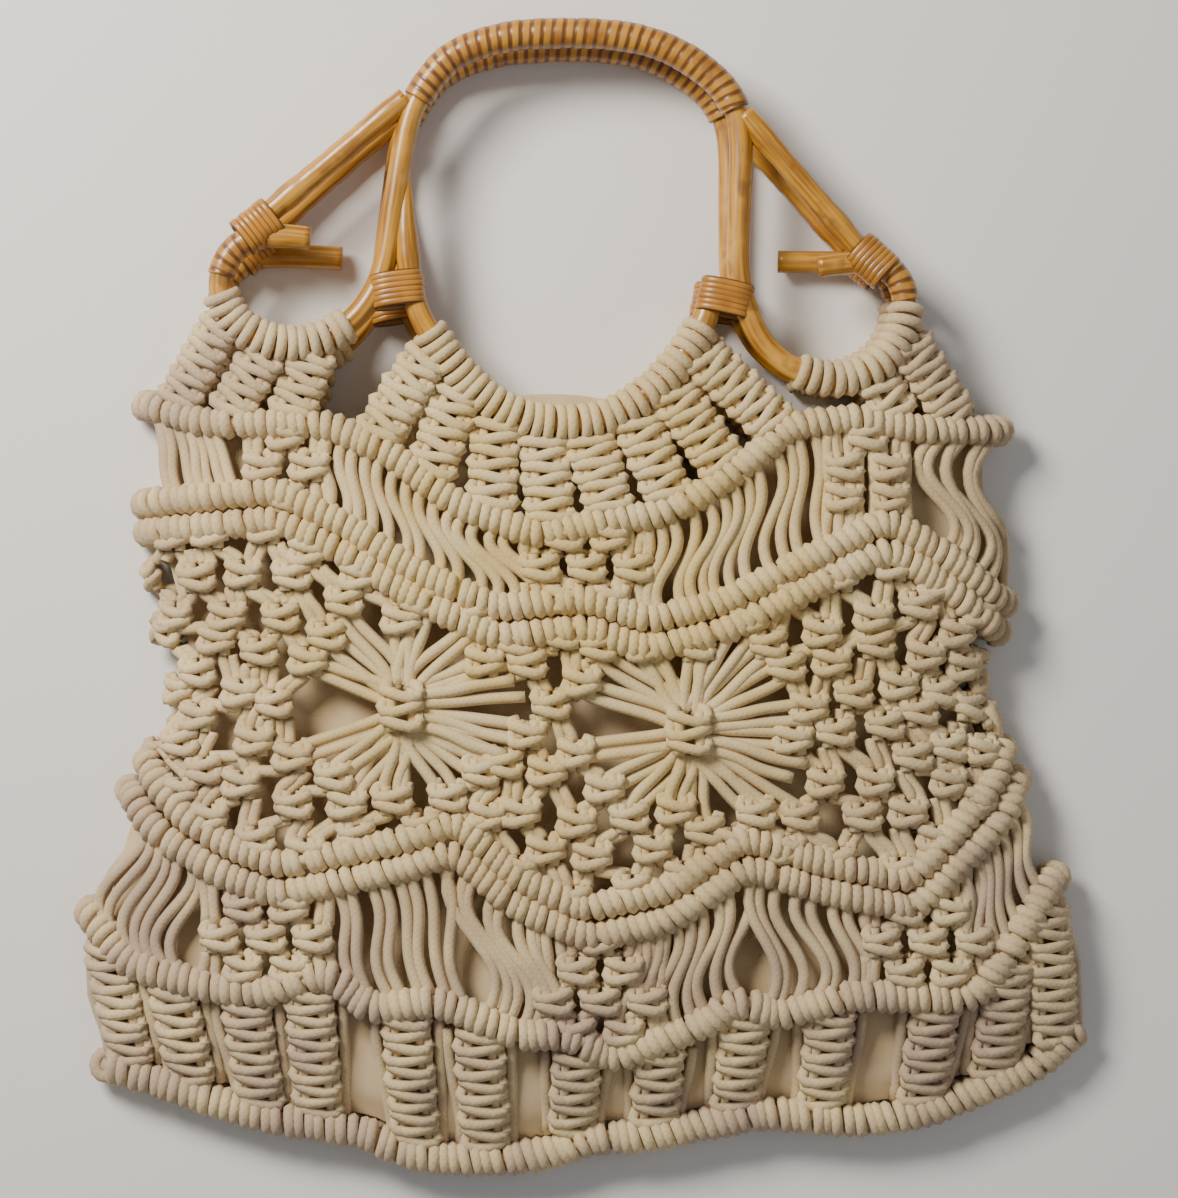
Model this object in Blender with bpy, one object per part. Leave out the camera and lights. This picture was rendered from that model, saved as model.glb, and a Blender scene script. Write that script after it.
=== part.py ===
"""A knotted cotton handbag on two cane handle frames, lying on its back.

X runs across the bag, Y runs from the base to the handles, and Z is up from the surface it lies on.
Lengths are in metres. The origin is on the surface, under the middle of the bag.
"""
import math

import bmesh
import bpy
import numpy as np

# Pouch
BODY_HALF_WIDTH = 0.185
BODY_LENGTH = 0.286
BODY_DEPTH = 0.033
EDGE_HEIGHT = 0.0075
PINCH_LENGTH = 0.060
BASE_RISE = 0.0050

# Knotted walls
NET_THICKNESS = 0.0040
ROW_PROUD = 0.0025
RIM_ROW_WIDTH = 0.0100
DOUBLE_ROW_WIDTH = 0.0200
SKIRT_ROW_WIDTH = 0.0118
BASE_ROW_WIDTH = 0.0122
SENNIT_THICKNESS = 0.0058
MOUTH_SENNIT_WIDTH = 0.0165
RING_SENNIT_WIDTH = 0.0140
SLOT_SHARE = 0.27
CORNER_SOFTENING = 0.05

# Lining
LINING_THICKNESS = 0.0012
LINING_SIDE_INSET = 0.018
LINING_CLEARANCE = 0.0012
LINING_BASE_LIFT = 0.0130
LINING_FULLNESS_POWER = 2.2

# Handle frames
FRAME_HALF_SPAN = 0.129
FRAME_HEIGHT = 0.158
FRAME_SIDE_OFFSET = -0.0076
MOUTH_DROP = 0.0164
CANE_DIAMETER = 0.0084
ARCH_STRIP_THICKNESS = 0.0011
BINDING_WALL = 0.0021
BINDING_CHAMFER = 0.0016
HITCH_DIAMETER = 0.0148
MOUTH_GAP = 0.0060
BACK_SLIP_DOWN = 0.0036
BACK_TURN_DEGREES = 1.8

# Section of the pouch: its front is a rounded lens and its back is flat up to the turn of its sides
FRONT_FULLNESS_POWER = 2.6
BACK_FLAT_SHARE = 0.78

# Fits
GAP = 0.0003
SENNIT_SEAT = 0.0014
BASE_SEAT = 0.0012
SENNIT_CANE_SEAT_SHARE = 0.15
SENNIT_HITCH_SEAT_SHARE = 0.35
SENNIT_END_INSET = 0.0004

# Facets
FRONT_COLUMNS = 26
EVEN_COLUMN_SHARE = 0.68
CURVE_STEPS = 24
WELD_DISTANCE = 1e-5
BACK_COLUMNS = 18
LINING_COLUMNS = 14
LINING_STEPS = 6
CANE_SIDES = 6
HITCH_SIDES = 8
CANE_STEP = 0.0105

# Outline of the pouch: down as a share of BODY_LENGTH, left and right as shares of BODY_HALF_WIDTH
OUTLINE = (
    (-0.06, 0.885, 0.800),
    (0.00, 0.887, 0.827),
    (0.10, 0.890, 0.835),
    (0.20, 0.880, 0.843),
    (0.28, 0.845, 0.835),
    (0.37, 0.825, 0.780),
    (0.45, 0.870, 0.835),
    (0.55, 0.960, 0.910),
    (0.64, 1.000, 0.950),
    (0.74, 1.000, 0.995),
    (0.80, 0.995, 0.995),
    (0.87, 0.965, 0.950),
    (1.00, 0.930, 0.910),
)

# Fullness of the pouch: down as a share of BODY_LENGTH, depth as a share of BODY_DEPTH
FULLNESS = (
    (-0.06, 0.84),
    (0.00, 0.86),
    (0.15, 0.94),
    (0.40, 1.00),
    (0.70, 0.96),
    (1.00, 0.80),
)

# Cording rows: across as a share of the half width there, down as a share of BODY_LENGTH
RIM_ROW = (
    (-1.00, 0.000), (-0.86, 0.026), (-0.56, 0.030), (-0.42, 0.066), (-0.27, 0.132), (-0.09, 0.172),
    (0.09, 0.152), (0.19, 0.146), (0.30, 0.118), (0.41, 0.075), (0.51, 0.030), (0.67, 0.020),
    (0.81, 0.035), (1.00, 0.035),
)
SHOULDER_ROW = (
    (-1.00, 0.149), (-0.74, 0.136), (-0.69, 0.132), (-0.53, 0.177), (-0.37, 0.240), (-0.20, 0.284),
    (0.01, 0.272), (0.16, 0.300), (0.34, 0.275), (0.53, 0.222), (0.72, 0.170), (0.85, 0.216),
    (1.00, 0.281),
)
HEM_ROW = (
    (-1.00, 0.478), (-0.93, 0.517), (-0.84, 0.553), (-0.73, 0.588), (-0.61, 0.615), (-0.34, 0.579),
    (-0.25, 0.557), (-0.12, 0.628), (0.02, 0.670), (0.19, 0.646), (0.36, 0.578), (0.52, 0.611),
    (0.69, 0.633), (0.83, 0.561), (0.95, 0.504), (1.00, 0.462),
)
SKIRT_ROW = (
    (-1.00, 0.654), (-0.92, 0.724), (-0.74, 0.756), (-0.64, 0.760), (-0.51, 0.732), (-0.43, 0.782),
    (-0.30, 0.769), (-0.13, 0.815), (-0.05, 0.811), (0.06, 0.846), (0.25, 0.795), (0.30, 0.768),
    (0.38, 0.790), (0.53, 0.763), (0.77, 0.768), (0.87, 0.700), (1.00, 0.612),
)
BASE_ROW = (
    (-1.00, 0.860), (-0.79, 0.905), (-0.69, 0.926), (-0.47, 0.947), (-0.39, 0.972), (-0.29, 0.982),
    (-0.16, 0.982), (-0.05, 0.972), (0.02, 0.955), (0.13, 0.953), (0.385, 0.922), (0.60, 0.933),
    (0.73, 0.922), (0.85, 0.890), (0.96, 0.859), (1.00, 0.805),
)

# Gaps cut through each net band: levels of gaps, then the step between gaps in front and at the back
NET_PATTERNS = {
    "yoke_net": (1, 1, 3),
    "middle_net": (4, 3, 6),
    "lower_net": (1, 1, 3),
    "base_net": (1, 2, 3),
}

# Grip cane from one stub end to the other: across as a share of FRAME_HALF_SPAN, up as a share
# of FRAME_HEIGHT above the bottom of the mouth hitches
LEFT_STUB_END = {"front": (-0.73, 0.485), "back": (-0.63, 0.48)}
RIGHT_STUB_END = {"front": (0.72, 0.42), "back": (0.63, 0.44)}
GRIP_CANE = (
    (-0.81, 0.49), (-0.90, 0.485), (-0.967, 0.435), (-0.985, 0.363), (-0.945, 0.293), (-0.855, 0.247),
    (-0.748, 0.241), (-0.652, 0.269), (-0.573, 0.328), (-0.521, 0.415), (-0.487, 0.578),
    (-0.452, 0.742), (-0.407, 0.831), (-0.318, 0.911), (-0.175, 0.953), (-0.017, 0.963),
    (0.140, 0.958), (0.270, 0.934), (0.384, 0.883), (0.468, 0.813), (0.499, 0.719), (0.496, 0.555),
    (0.493, 0.415), (0.516, 0.321), (0.567, 0.239), (0.656, 0.180), (0.771, 0.157), (0.877, 0.184),
    (0.951, 0.251), (0.971, 0.333), (0.937, 0.403), (0.848, 0.429),
)
MOUTH_CANE = (
    (-0.424, 0.505), (-0.438, 0.438), (-0.434, 0.368), (-0.407, 0.293), (-0.338, 0.208),
    (-0.241, 0.122), (-0.126, 0.068), (-0.003, 0.054), (0.120, 0.070), (0.241, 0.129),
    (0.332, 0.208), (0.395, 0.293), (0.418, 0.379),
)
STRUTS = {
    "left": ((-0.518, 0.762), (-0.837, 0.556)),
    "right": ((0.563, 0.718), (0.814, 0.483)),
}

# Split-cane bindings: centre on the frame, turn in degrees, how far apart the bound canes' centre
# lines lie as a share of FRAME_HALF_SPAN, and length in cane diameters
BINDINGS = {
    "left_leg": ((-0.480, 0.365), 8.0, 0.06837209, 1.45),
    "right_leg": ((0.455, 0.345), -12.0, 0.06837209, 1.45),
    "left_ring": ((-0.880, 0.512), -52.0, 0.02930233, 1.75),
    "right_ring": ((0.875, 0.432), 48.0, 0.02930233, 1.75),
}
ARCH_WRAP = ((-0.425, 0.805), (0.480, 0.785))

# Hitch sleeves: the cane, and where the sleeve starts and ends on it
HITCHES = {
    "mouth": ("mouth", (-0.385, 0.262), (0.385, 0.270)),
    "left_ring": ("grip", (-0.985, 0.350), (-0.640, 0.277)),
    "right_ring": ("grip", (0.670, 0.170), (0.971, 0.315)),
}

# Sennits: the sleeve each hangs from, how far along it as a share, and across at the rim row
SENNITS = (
    ("left_ring", 0.14, -0.925), ("left_ring", 0.50, -0.800), ("left_ring", 0.84, -0.655),
    ("mouth", 0.035, -0.455), ("mouth", 0.165, -0.330), ("mouth", 0.300, -0.190),
    ("mouth", 0.435, -0.055), ("mouth", 0.570, 0.085), ("mouth", 0.700, 0.225),
    ("mouth", 0.830, 0.355), ("mouth", 0.965, 0.480),
    ("right_ring", 0.52, 0.765), ("right_ring", 0.86, 0.905),
)

# Finishes: colour, roughness and metallic value
FINISHES = {
    "cane": ((0.49, 0.21, 0.032, 1.0), 0.35, 0.0),
    "cane_strip": ((0.33, 0.12, 0.02, 1.0), 0.42, 0.0),
    "cotton_cord": ((0.66, 0.55, 0.36, 1.0), 0.90, 0.0),
    "lining_cloth": ((0.60, 0.45, 0.26, 1.0), 0.92, 0.0),
}

# The cords hide the cane's own sides, so a sleeve's flats touch the surface below
HITCH_FLAT = 0.5 * HITCH_DIAMETER * math.cos(math.pi / HITCH_SIDES)
FRAME_LEVEL = {"back": HITCH_FLAT, "front": 3.0 * HITCH_FLAT + MOUTH_GAP}


def finish(name):
    """One Principled material for each kind of stuff, made once and shared."""
    material = bpy.data.materials.get(name)
    if material is None:
        colour, roughness, metallic = FINISHES[name]
        material = bpy.data.materials.new(name)
        material.use_nodes = True
        shader = material.node_tree.nodes["Principled BSDF"]
        shader.inputs["Base Color"].default_value = colour
        shader.inputs["Roughness"].default_value = roughness
        shader.inputs["Metallic"].default_value = metallic
        material.diffuse_color = colour
    return material


def add_object(name, vertices, faces, material):
    """An object from vertices and faces, with its faces turned outwards and shaded smooth."""
    mesh = bpy.data.meshes.new(name)
    mesh.from_pydata([tuple(float(c) for c in v) for v in vertices], [], faces)
    work = bmesh.new()
    work.from_mesh(mesh)
    bmesh.ops.recalc_face_normals(work, faces=work.faces)
    work.to_mesh(mesh)
    work.free()
    mesh.shade_smooth()
    mesh.set_sharp_from_angle(angle=math.radians(40))
    mesh.materials.append(finish(material))
    made = bpy.data.objects.new(name, mesh)
    bpy.context.scene.collection.objects.link(made)
    return made


def smooth_route(points, step):
    """Points about one step apart on a Catmull-Rom curve through the given points."""
    points = np.array(points, float)
    padded = np.vstack([2 * points[0] - points[1], points, 2 * points[-1] - points[-2]])
    fine = []
    for i in range(1, len(padded) - 2):
        a, b, c, d = padded[i - 1:i + 3]
        for t in np.linspace(0.0, 1.0, CURVE_STEPS, endpoint=False):
            fine.append(0.5 * (2 * b + (c - a) * t + (2 * a - 5 * b + 4 * c - d) * t ** 2
                               + (3 * b - a - 3 * c + d) * t ** 3))
    fine = np.array(fine + [points[-1]])
    run = np.concatenate([[0.0], np.cumsum(np.linalg.norm(np.diff(fine, axis=0), axis=1))])
    stations = np.linspace(0.0, run[-1], max(2, round(run[-1] / step) + 1))
    return np.column_stack([np.interp(stations, run, fine[:, k]) for k in range(fine.shape[1])])


def route_normals(route):
    """Unit tangents and left-hand normals of a flat route, mitred at each point."""
    tangents = np.gradient(route, axis=0)
    tangents /= np.linalg.norm(tangents, axis=1)[:, None]
    return tangents, np.column_stack([-tangents[:, 1], tangents[:, 0]])


def tube_rings(route, level, radius, sides):
    """Rings of a tube round a flat route at a level, turned so that a flat faces up and down."""
    normals = route_normals(route)[1]
    angles = 2 * math.pi * (np.arange(sides) + 0.5) / sides + math.pi / 2
    across = radius * np.cos(angles)
    up = radius * np.sin(angles)
    rings = np.zeros((len(route), sides, 3))
    rings[:, :, :2] = route[:, None, :] + normals[:, None, :] * across[None, :, None]
    rings[:, :, 2] = level + up[None, :]
    return rings


def round_radius(diameter, sides):
    """Corner radius of a regular outline with the same area as a round one."""
    return 0.5 * diameter * math.sqrt(2 * math.pi / (sides * math.sin(2 * math.pi / sides)))


def bore_radius(sides):
    """Corner radius of a hole that clears the cane by GAP: its flats clear the cane's corners."""
    cane = round_radius(CANE_DIAMETER, CANE_SIDES)
    if sides == CANE_SIDES:
        return cane + GAP / math.cos(math.pi / sides)
    return (cane + GAP) / math.cos(math.pi / sides)


def ring_faces(first, second, sides):
    """Quads between two rings of vertices, given the number of each ring's first vertex."""
    return [(first + k, first + (k + 1) % sides, second + (k + 1) % sides, second + k)
            for k in range(sides)]


def edge_faces(outer, outer_next, inner, inner_next):
    """Two triangles of a wall's edge. Walls that face each other are all split this same way."""
    return [(outer, outer_next, inner_next), (outer, inner_next, inner)]


def add_tube(name, route, level, radius, material, sides=CANE_SIDES):
    """A solid rod along a flat route."""
    rings = tube_rings(route, level, radius, sides)
    faces = []
    for i in range(len(rings) - 1):
        faces += ring_faces(i * sides, (i + 1) * sides, sides)
    last = (len(rings) - 1) * sides
    faces += [tuple(range(sides)), tuple(range(last, last + sides))]
    return add_object(name, rings.reshape(-1, 3), faces, material)


def add_sleeve(name, route, span, level, outer, bore, material, sides):
    """A tube with a bore, open at both ends, on a span of a flat route's points."""
    skin = tube_rings(route, level, outer, sides)[span]
    hole = tube_rings(route, level, bore, sides)[span]
    count = len(skin) * sides
    faces = []
    for i in range(len(skin) - 1):
        faces += ring_faces(i * sides, (i + 1) * sides, sides)
        faces += ring_faces(count + i * sides, count + (i + 1) * sides, sides)
    last = (len(skin) - 1) * sides
    faces += ring_faces(0, count, sides) + ring_faces(last, count + last, sides)
    return add_object(name, np.vstack([skin.reshape(-1, 3), hole.reshape(-1, 3)]), faces, material)


def route_span(route, side, ends):
    """The route's points between two places on a frame, as a slice."""
    first, last = (int(np.argmin(np.linalg.norm(route - frame_place(side, end), axis=1))) for end in ends)
    return slice(first, last + 1)


def apply_boolean(target, others, operation):
    """Joins the others to the target, or cuts them from it, and removes them."""
    for other in others:
        step = target.modifiers.new(operation.title(), "BOOLEAN")
        step.operation = operation
        step.solver = "EXACT"
        step.object = other
    bpy.context.view_layer.update()
    graph = bpy.context.evaluated_depsgraph_get()
    result = bpy.data.meshes.new_from_object(target.evaluated_get(graph))
    target.modifiers.clear()
    target.data = result
    for other in others:
        bpy.data.objects.remove(other)


def blend(table, column, at):
    """A table's column read at a place, straight between its rows."""
    table = np.array(table)
    return np.interp(at, table[:, 0], table[:, column])


def soften(table, at, width):
    """A row's course with its corners rounded over a width."""
    shifts = np.linspace(-0.5, 0.5, 5) * width
    return np.mean([blend(table, 1, np.asarray(at) + shift) for shift in shifts], axis=0)


def column_shares(count):
    """Column places from edge to edge, closer together near the edges."""
    even = np.linspace(-1.0, 1.0, count + 1)
    return EVEN_COLUMN_SHARE * even + (1.0 - EVEN_COLUMN_SHARE) * np.sin(0.5 * math.pi * even)


def wall_columns(front_count, back_count):
    """The columns round the pouch: across share, and +1 in front or -1 at the back."""
    front = column_shares(front_count)
    back = column_shares(back_count)[1:-1][::-1]
    across = np.concatenate([front, back])
    face = np.concatenate([np.ones(len(front)), -np.ones(len(back))])
    return across, face


def front_factor(across):
    """How far the front rises above the edge, as a share of its rise at the middle."""
    return np.clip(1.0 - np.abs(across) ** FRONT_FULLNESS_POWER, 0.0, 1.0) ** (1.0 / FRONT_FULLNESS_POWER)


def back_factor(across):
    """How far the back sinks below the edge: flat in the middle, rounded near the sides."""
    turn = np.clip((np.abs(across) - BACK_FLAT_SHARE) / (1.0 - BACK_FLAT_SHARE), 0.0, 1.0)
    return np.sqrt(1.0 - turn ** 2)


def side_edges(down):
    """Where the pouch's left and right edges are across."""
    return -BODY_HALF_WIDTH * blend(OUTLINE, 1, down), BODY_HALF_WIDTH * blend(OUTLINE, 2, down)


def pinch(across, down):
    """How full the pouch is above its base row: 0 at the row and 1 from PINCH_LENGTH up."""
    above = (blend(BASE_ROW, 1, across) - down) * BODY_LENGTH - 0.5 * BASE_ROW_WIDTH
    part = np.clip(above / PINCH_LENGTH, 0.0, 1.0)
    return 1.0 - (1.0 - part) ** 2


def pouch_points(across, face, down):
    """Points on the outer face of the net, from across, face and down arrays of one shape."""
    left, right = side_edges(down)
    x = 0.5 * (left + right) + 0.5 * (right - left) * across
    y = -BODY_LENGTH * down
    rise = BASE_RISE + (BODY_DEPTH * blend(FULLNESS, 1, down) - EDGE_HEIGHT - BASE_RISE) * pinch(across, down)
    front = EDGE_HEIGHT + rise * front_factor(across)
    back = EDGE_HEIGHT - (EDGE_HEIGHT - ROW_PROUD) * back_factor(across)
    return np.stack([x, y, np.where(face > 0, front, back)], axis=-1)


def pouch_normals(across, face, down):
    """Outward directions in the bag's cross-section, from differences round a ring of columns."""
    here = pouch_points(across, face, down)
    round_it = np.roll(here, -1, axis=0) - np.roll(here, 1, axis=0)
    normals = np.stack([-round_it[:, 2], 0 * across, round_it[:, 0]], axis=-1)
    return normals / np.linalg.norm(normals, axis=-1, keepdims=True)


def row_spread(across, face, centre):
    """How much taller than wide a row's section is, where the row runs aslant."""
    points = pouch_points(across, face, centre)
    flat = np.roll(points, -1, axis=0) - np.roll(points, 1, axis=0)
    run = np.hypot(flat[:, 0], flat[:, 2])
    return np.hypot(1.0, flat[:, 1] / np.maximum(run, 1e-6))


def row_course(table, across, face, width):
    """A row's centre and its half height, both as shares down the pouch."""
    centre = soften(table, across, CORNER_SOFTENING)
    half = 0.5 * width * row_spread(across, face, centre) / BODY_LENGTH
    return centre, half


def add_wall_row(name, table, width, profile):
    """A closed cording row round the pouch, with its section given by a profile.

    The profile's columns are the place down the row as a share of its half height, and the height
    above the net as a share of ROW_PROUD, or below it as a share of NET_THICKNESS.
    """
    across, face = wall_columns(FRONT_COLUMNS, BACK_COLUMNS)
    centre, half = row_course(table, across, face, width)
    rings = []
    for place, height in profile:
        down = centre + place * half
        lift = height * (ROW_PROUD if height > 0 else NET_THICKNESS)
        rings.append(pouch_points(across, face, down) + lift * pouch_normals(across, face, down))
    rings = np.stack(rings, axis=1)
    rings[:, :, 2] = np.where((face < 0)[:, None] & (rings[:, :, 2] < 0.0002), 0.0, rings[:, :, 2])
    columns, sides = rings.shape[:2]
    lower, upper = sides - 3, 0
    faces = []
    for k in range(columns):
        here, after = k * sides, ((k + 1) % columns) * sides
        quads = ring_faces(here, after, sides)
        faces += quads[:lower] + [quads[lower + 1]]
        faces += edge_faces(here + lower, after + lower, here + lower + 1, after + lower + 1)
        faces += edge_faces(here + upper, after + upper, here + sides - 1, after + sides - 1)
    return add_object(name, rings.reshape(-1, 3), faces, "cotton_cord")


SINGLE_PROFILE = ((-1.0, 0.0), (-0.55, 1.0), (0.55, 1.0), (1.0, 0.0), (1.0, -1.0), (-1.0, -1.0))
DOUBLE_PROFILE = ((-1.0, 0.0), (-0.75, 1.0), (-0.22, 1.0), (0.0, 0.15), (0.22, 1.0), (0.75, 1.0),
                  (1.0, 0.0), (1.0, -1.0), (-1.0, -1.0))


def add_base_row():
    """The base row, where front and back meet: a bar from corner to corner."""
    across, face = wall_columns(FRONT_COLUMNS, BACK_COLUMNS)
    centre, half = row_course(BASE_ROW, across, face, BASE_ROW_WIDTH)
    across, face, centre, half = (values[face > 0] for values in (across, face, centre, half))
    top = EDGE_HEIGHT + BASE_RISE + ROW_PROUD
    section = ((-1.0, 0.5), (-0.6, 0.0), (0.6, 0.0), (1.0, 0.5), (0.6, 1.0), (-0.6, 1.0))
    rings = np.stack([pouch_points(across, face, centre + place * half) for place, _ in section], axis=1)
    rings[:, :, 2] = top * np.array([up for _, up in section])
    sides = len(section)
    faces = []
    for i in range(len(across) - 1):
        faces += ring_faces(i * sides, (i + 1) * sides, sides)
    last = (len(across) - 1) * sides
    faces += [tuple(range(sides)), tuple(range(last, last + sides))]
    return add_object("base_row", rings.reshape(-1, 3), faces, "cotton_cord")


def add_net_band(name, upper, upper_width, lower, lower_width, steps):
    """A net band between two rows: an outer and an inner skin, with its gaps cut through."""
    across, face = wall_columns(FRONT_COLUMNS, BACK_COLUMNS)
    top_centre, top_half = row_course(upper, across, face, upper_width + 2 * GAP)
    low_centre, low_half = row_course(lower, across, face, lower_width + 2 * GAP)
    top = top_centre + top_half
    low = low_centre - low_half
    downs = [top + (low - top) * share for share in np.linspace(0.0, 1.0, steps + 1)]
    outer = np.stack([pouch_points(across, face, down) for down in downs])
    inwards = np.stack([pouch_normals(across, face, down) for down in downs])
    skins = np.stack([outer, outer - NET_THICKNESS * inwards])
    columns = len(across)
    vertices = list(skins.reshape(-1, 3))
    level = (steps + 1) * columns
    faces = []
    for row in range(steps):
        for k in range(columns):
            following = (k + 1) % columns
            panel = (row * columns + k, row * columns + following,
                     (row + 1) * columns + following, (row + 1) * columns + k)
            if is_gap(name, row, k, steps):
                cut_panel(vertices, faces, panel, level)
            else:
                faces.append(panel)
                faces.append(tuple(level + v for v in panel))
    for row in (0, steps):
        for k in range(columns):
            here, following = row * columns + k, row * columns + (k + 1) % columns
            faces += edge_faces(here, following, level + here, level + following)
    return add_object(name, vertices, faces, "cotton_cord")


def cut_panel(vertices, faces, panel, level):
    """A panel of both skins with a slanted four-sided gap through it."""
    corners = np.array([[vertices[v + shift] for v in panel] for shift in (0, level)])
    breadth = np.linalg.norm(corners[0, 1] - corners[0, 0]) + np.linalg.norm(corners[0, 2] - corners[0, 3])
    height = np.linalg.norm(corners[0, 3] - corners[0, 0]) + np.linalg.norm(corners[0, 2] - corners[0, 1])
    strip = SLOT_SHARE * min(breadth, height)
    side, end = strip / breadth, strip / height
    shares = ((side, end), (1 - side, end), (1 - side, 1 - end), (side, 1 - end))
    first = len(vertices)
    for skin in corners:
        for s, t in shares:
            vertices.append((1 - t) * ((1 - s) * skin[0] + s * skin[1]) + t * ((1 - s) * skin[3] + s * skin[2]))
    for k in range(4):
        after = (k + 1) % 4
        faces.append((panel[k], panel[after], first + after, first + k))
        faces.append((level + panel[k], level + panel[after], first + 4 + after, first + 4 + k))
        faces.append((first + k, first + after, first + 4 + after, first + 4 + k))


def is_gap(name, row, column, steps):
    """Whether a panel of a net band is one that is cut through."""
    levels, front_step, back_step = NET_PATTERNS[name]
    first_row = (steps - levels) // 2
    if not first_row <= row < first_row + levels:
        return False
    if column < FRONT_COLUMNS:
        return 0 < column < FRONT_COLUMNS - 1 and (column + row) % front_step == 0
    place = column - FRONT_COLUMNS
    return 0 < place < BACK_COLUMNS - 1 and (place + row) % back_step == 0


def add_lining():
    """The cloth lining: a flat bag, open at the mouth and folded shut above the base row."""
    even = column_shares(LINING_COLUMNS)
    across = np.concatenate([even, even[1:-1][::-1]])
    face = np.concatenate([np.ones(len(even)), -np.ones(len(even) - 2)])
    rim = soften(RIM_ROW, across, CORNER_SOFTENING)
    floor = blend(BASE_ROW, 1, across) - (0.5 * BASE_ROW_WIDTH + LINING_BASE_LIFT) / BODY_LENGTH
    wall = NET_THICKNESS + LINING_CLEARANCE
    skin = []
    for share in np.linspace(0.0, 1.0, LINING_STEPS + 1):
        down = rim + (floor - rim) * share
        left, right = side_edges(down)
        half = 0.5 * (right - left) - LINING_SIDE_INSET
        outer = pouch_points(0 * across, np.ones(len(across)), down)[:, 2]
        pinched = pinch(across, down)
        crown = EDGE_HEIGHT + BASE_RISE + (outer - EDGE_HEIGHT - BASE_RISE) * pinched - wall
        seam = EDGE_HEIGHT + 0.5 * BASE_RISE
        lens = np.clip(1.0 - np.abs(across) ** LINING_FULLNESS_POWER, 0.0, 1.0) ** (1.0 / LINING_FULLNESS_POWER)
        rise = (crown - seam) * lens
        sink = (seam - ROW_PROUD - wall) * back_factor(across)
        closed = 1.0 if share == 1.0 else 0.0
        height = np.where(face > 0, seam + rise * (1.0 - closed), seam - sink * (1.0 - closed))
        skin.append(np.column_stack([0.5 * (left + right) + half * across, -BODY_LENGTH * down, height]))
    columns = len(across)
    vertices = np.vstack(skin)
    faces = []
    for row in range(LINING_STEPS):
        for k in range(columns):
            following = (k + 1) % columns
            faces.append((row * columns + k, row * columns + following,
                          (row + 1) * columns + following, (row + 1) * columns + k))
    lining = add_object("lining", vertices, faces, "lining_cloth")
    work = bmesh.new()
    work.from_mesh(lining.data)
    bmesh.ops.remove_doubles(work, verts=work.verts, dist=WELD_DISTANCE)
    bmesh.ops.recalc_face_normals(work, faces=work.faces)
    highest = max(work.faces, key=lambda panel: panel.calc_center_median().z)
    if highest.normal.z < 0:
        bmesh.ops.reverse_faces(work, faces=work.faces)
    work.to_mesh(lining.data)
    work.free()
    thicken = lining.modifiers.new("Thickness", "SOLIDIFY")
    thicken.thickness = LINING_THICKNESS
    thicken.offset = -1.0
    return lining


def frame_place(side, point):
    """A point of a frame's tables as a place in the bag's plane. The back frame lies askew."""
    x = FRAME_HALF_SPAN * point[0]
    y = FRAME_HEIGHT * point[1]
    if side == "back":
        turn = math.radians(BACK_TURN_DEGREES)
        x, y = x * math.cos(turn) - y * math.sin(turn), x * math.sin(turn) + y * math.cos(turn)
        y -= BACK_SLIP_DOWN
    return np.array([FRAME_SIDE_OFFSET + x, y - MOUTH_DROP])


def frame_routes(side):
    """The grip cane's and mouth cane's centre lines."""
    grip = (LEFT_STUB_END[side],) + GRIP_CANE + (RIGHT_STUB_END[side],)
    return {"grip": smooth_route([frame_place(side, p) for p in grip], CANE_STEP),
            "mouth": smooth_route([frame_place(side, p) for p in MOUTH_CANE], CANE_STEP)}


def add_binding(side, name, routes):
    """A split-cane binding: an eight-sided block wound round the canes that pass through it."""
    centre, turn, spread, length = BINDINGS[name]
    place = frame_place(side, centre)
    turn = math.radians(turn)
    along = np.array([-math.sin(turn), math.cos(turn)])
    half_length = 0.5 * length * CANE_DIAMETER
    half_depth = 0.5 * CANE_DIAMETER + BINDING_WALL
    half_width = 0.5 * (CANE_DIAMETER + spread * FRAME_HALF_SPAN) + BINDING_WALL
    level = FRAME_LEVEL[side]
    beside = np.array([along[1], -along[0]])
    inner_width = half_width - BINDING_CHAMFER
    inner_depth = half_depth - BINDING_CHAMFER
    section = [(half_width, inner_depth), (inner_width, half_depth)]
    section += [(-offset, lift) for offset, lift in reversed(section)]
    section += [(-offset, -lift) for offset, lift in section]
    vertices = []
    for end in (-half_length, half_length):
        for offset, lift in section:
            spot = place + along * end + beside * offset
            vertices.append((spot[0], spot[1], level + lift))
    faces = ring_faces(0, 8, 8) + [tuple(range(8)), tuple(range(8, 16))]
    block = add_object(side + "_" + name + "_binding", vertices, faces, "cane_strip")
    cutters = [add_tube("bore", route, level, bore_radius(CANE_SIDES), "cane_strip") for route in routes]
    apply_boolean(block, cutters, "DIFFERENCE")


def strut_route(side, name):
    """A strut's centre line."""
    return np.array([frame_place(side, p) for p in STRUTS[name]])


def rim_top(across_place):
    """How far down the pouch the rim row's upper edge lies at a place across."""
    columns, face = wall_columns(FRONT_COLUMNS, BACK_COLUMNS)
    centre, half = row_course(RIM_ROW, columns, face, RIM_ROW_WIDTH)
    chosen = face > 0
    order = np.argsort(columns[chosen])
    return np.interp(across_place, columns[chosen][order], (centre - half)[chosen][order])


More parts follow.
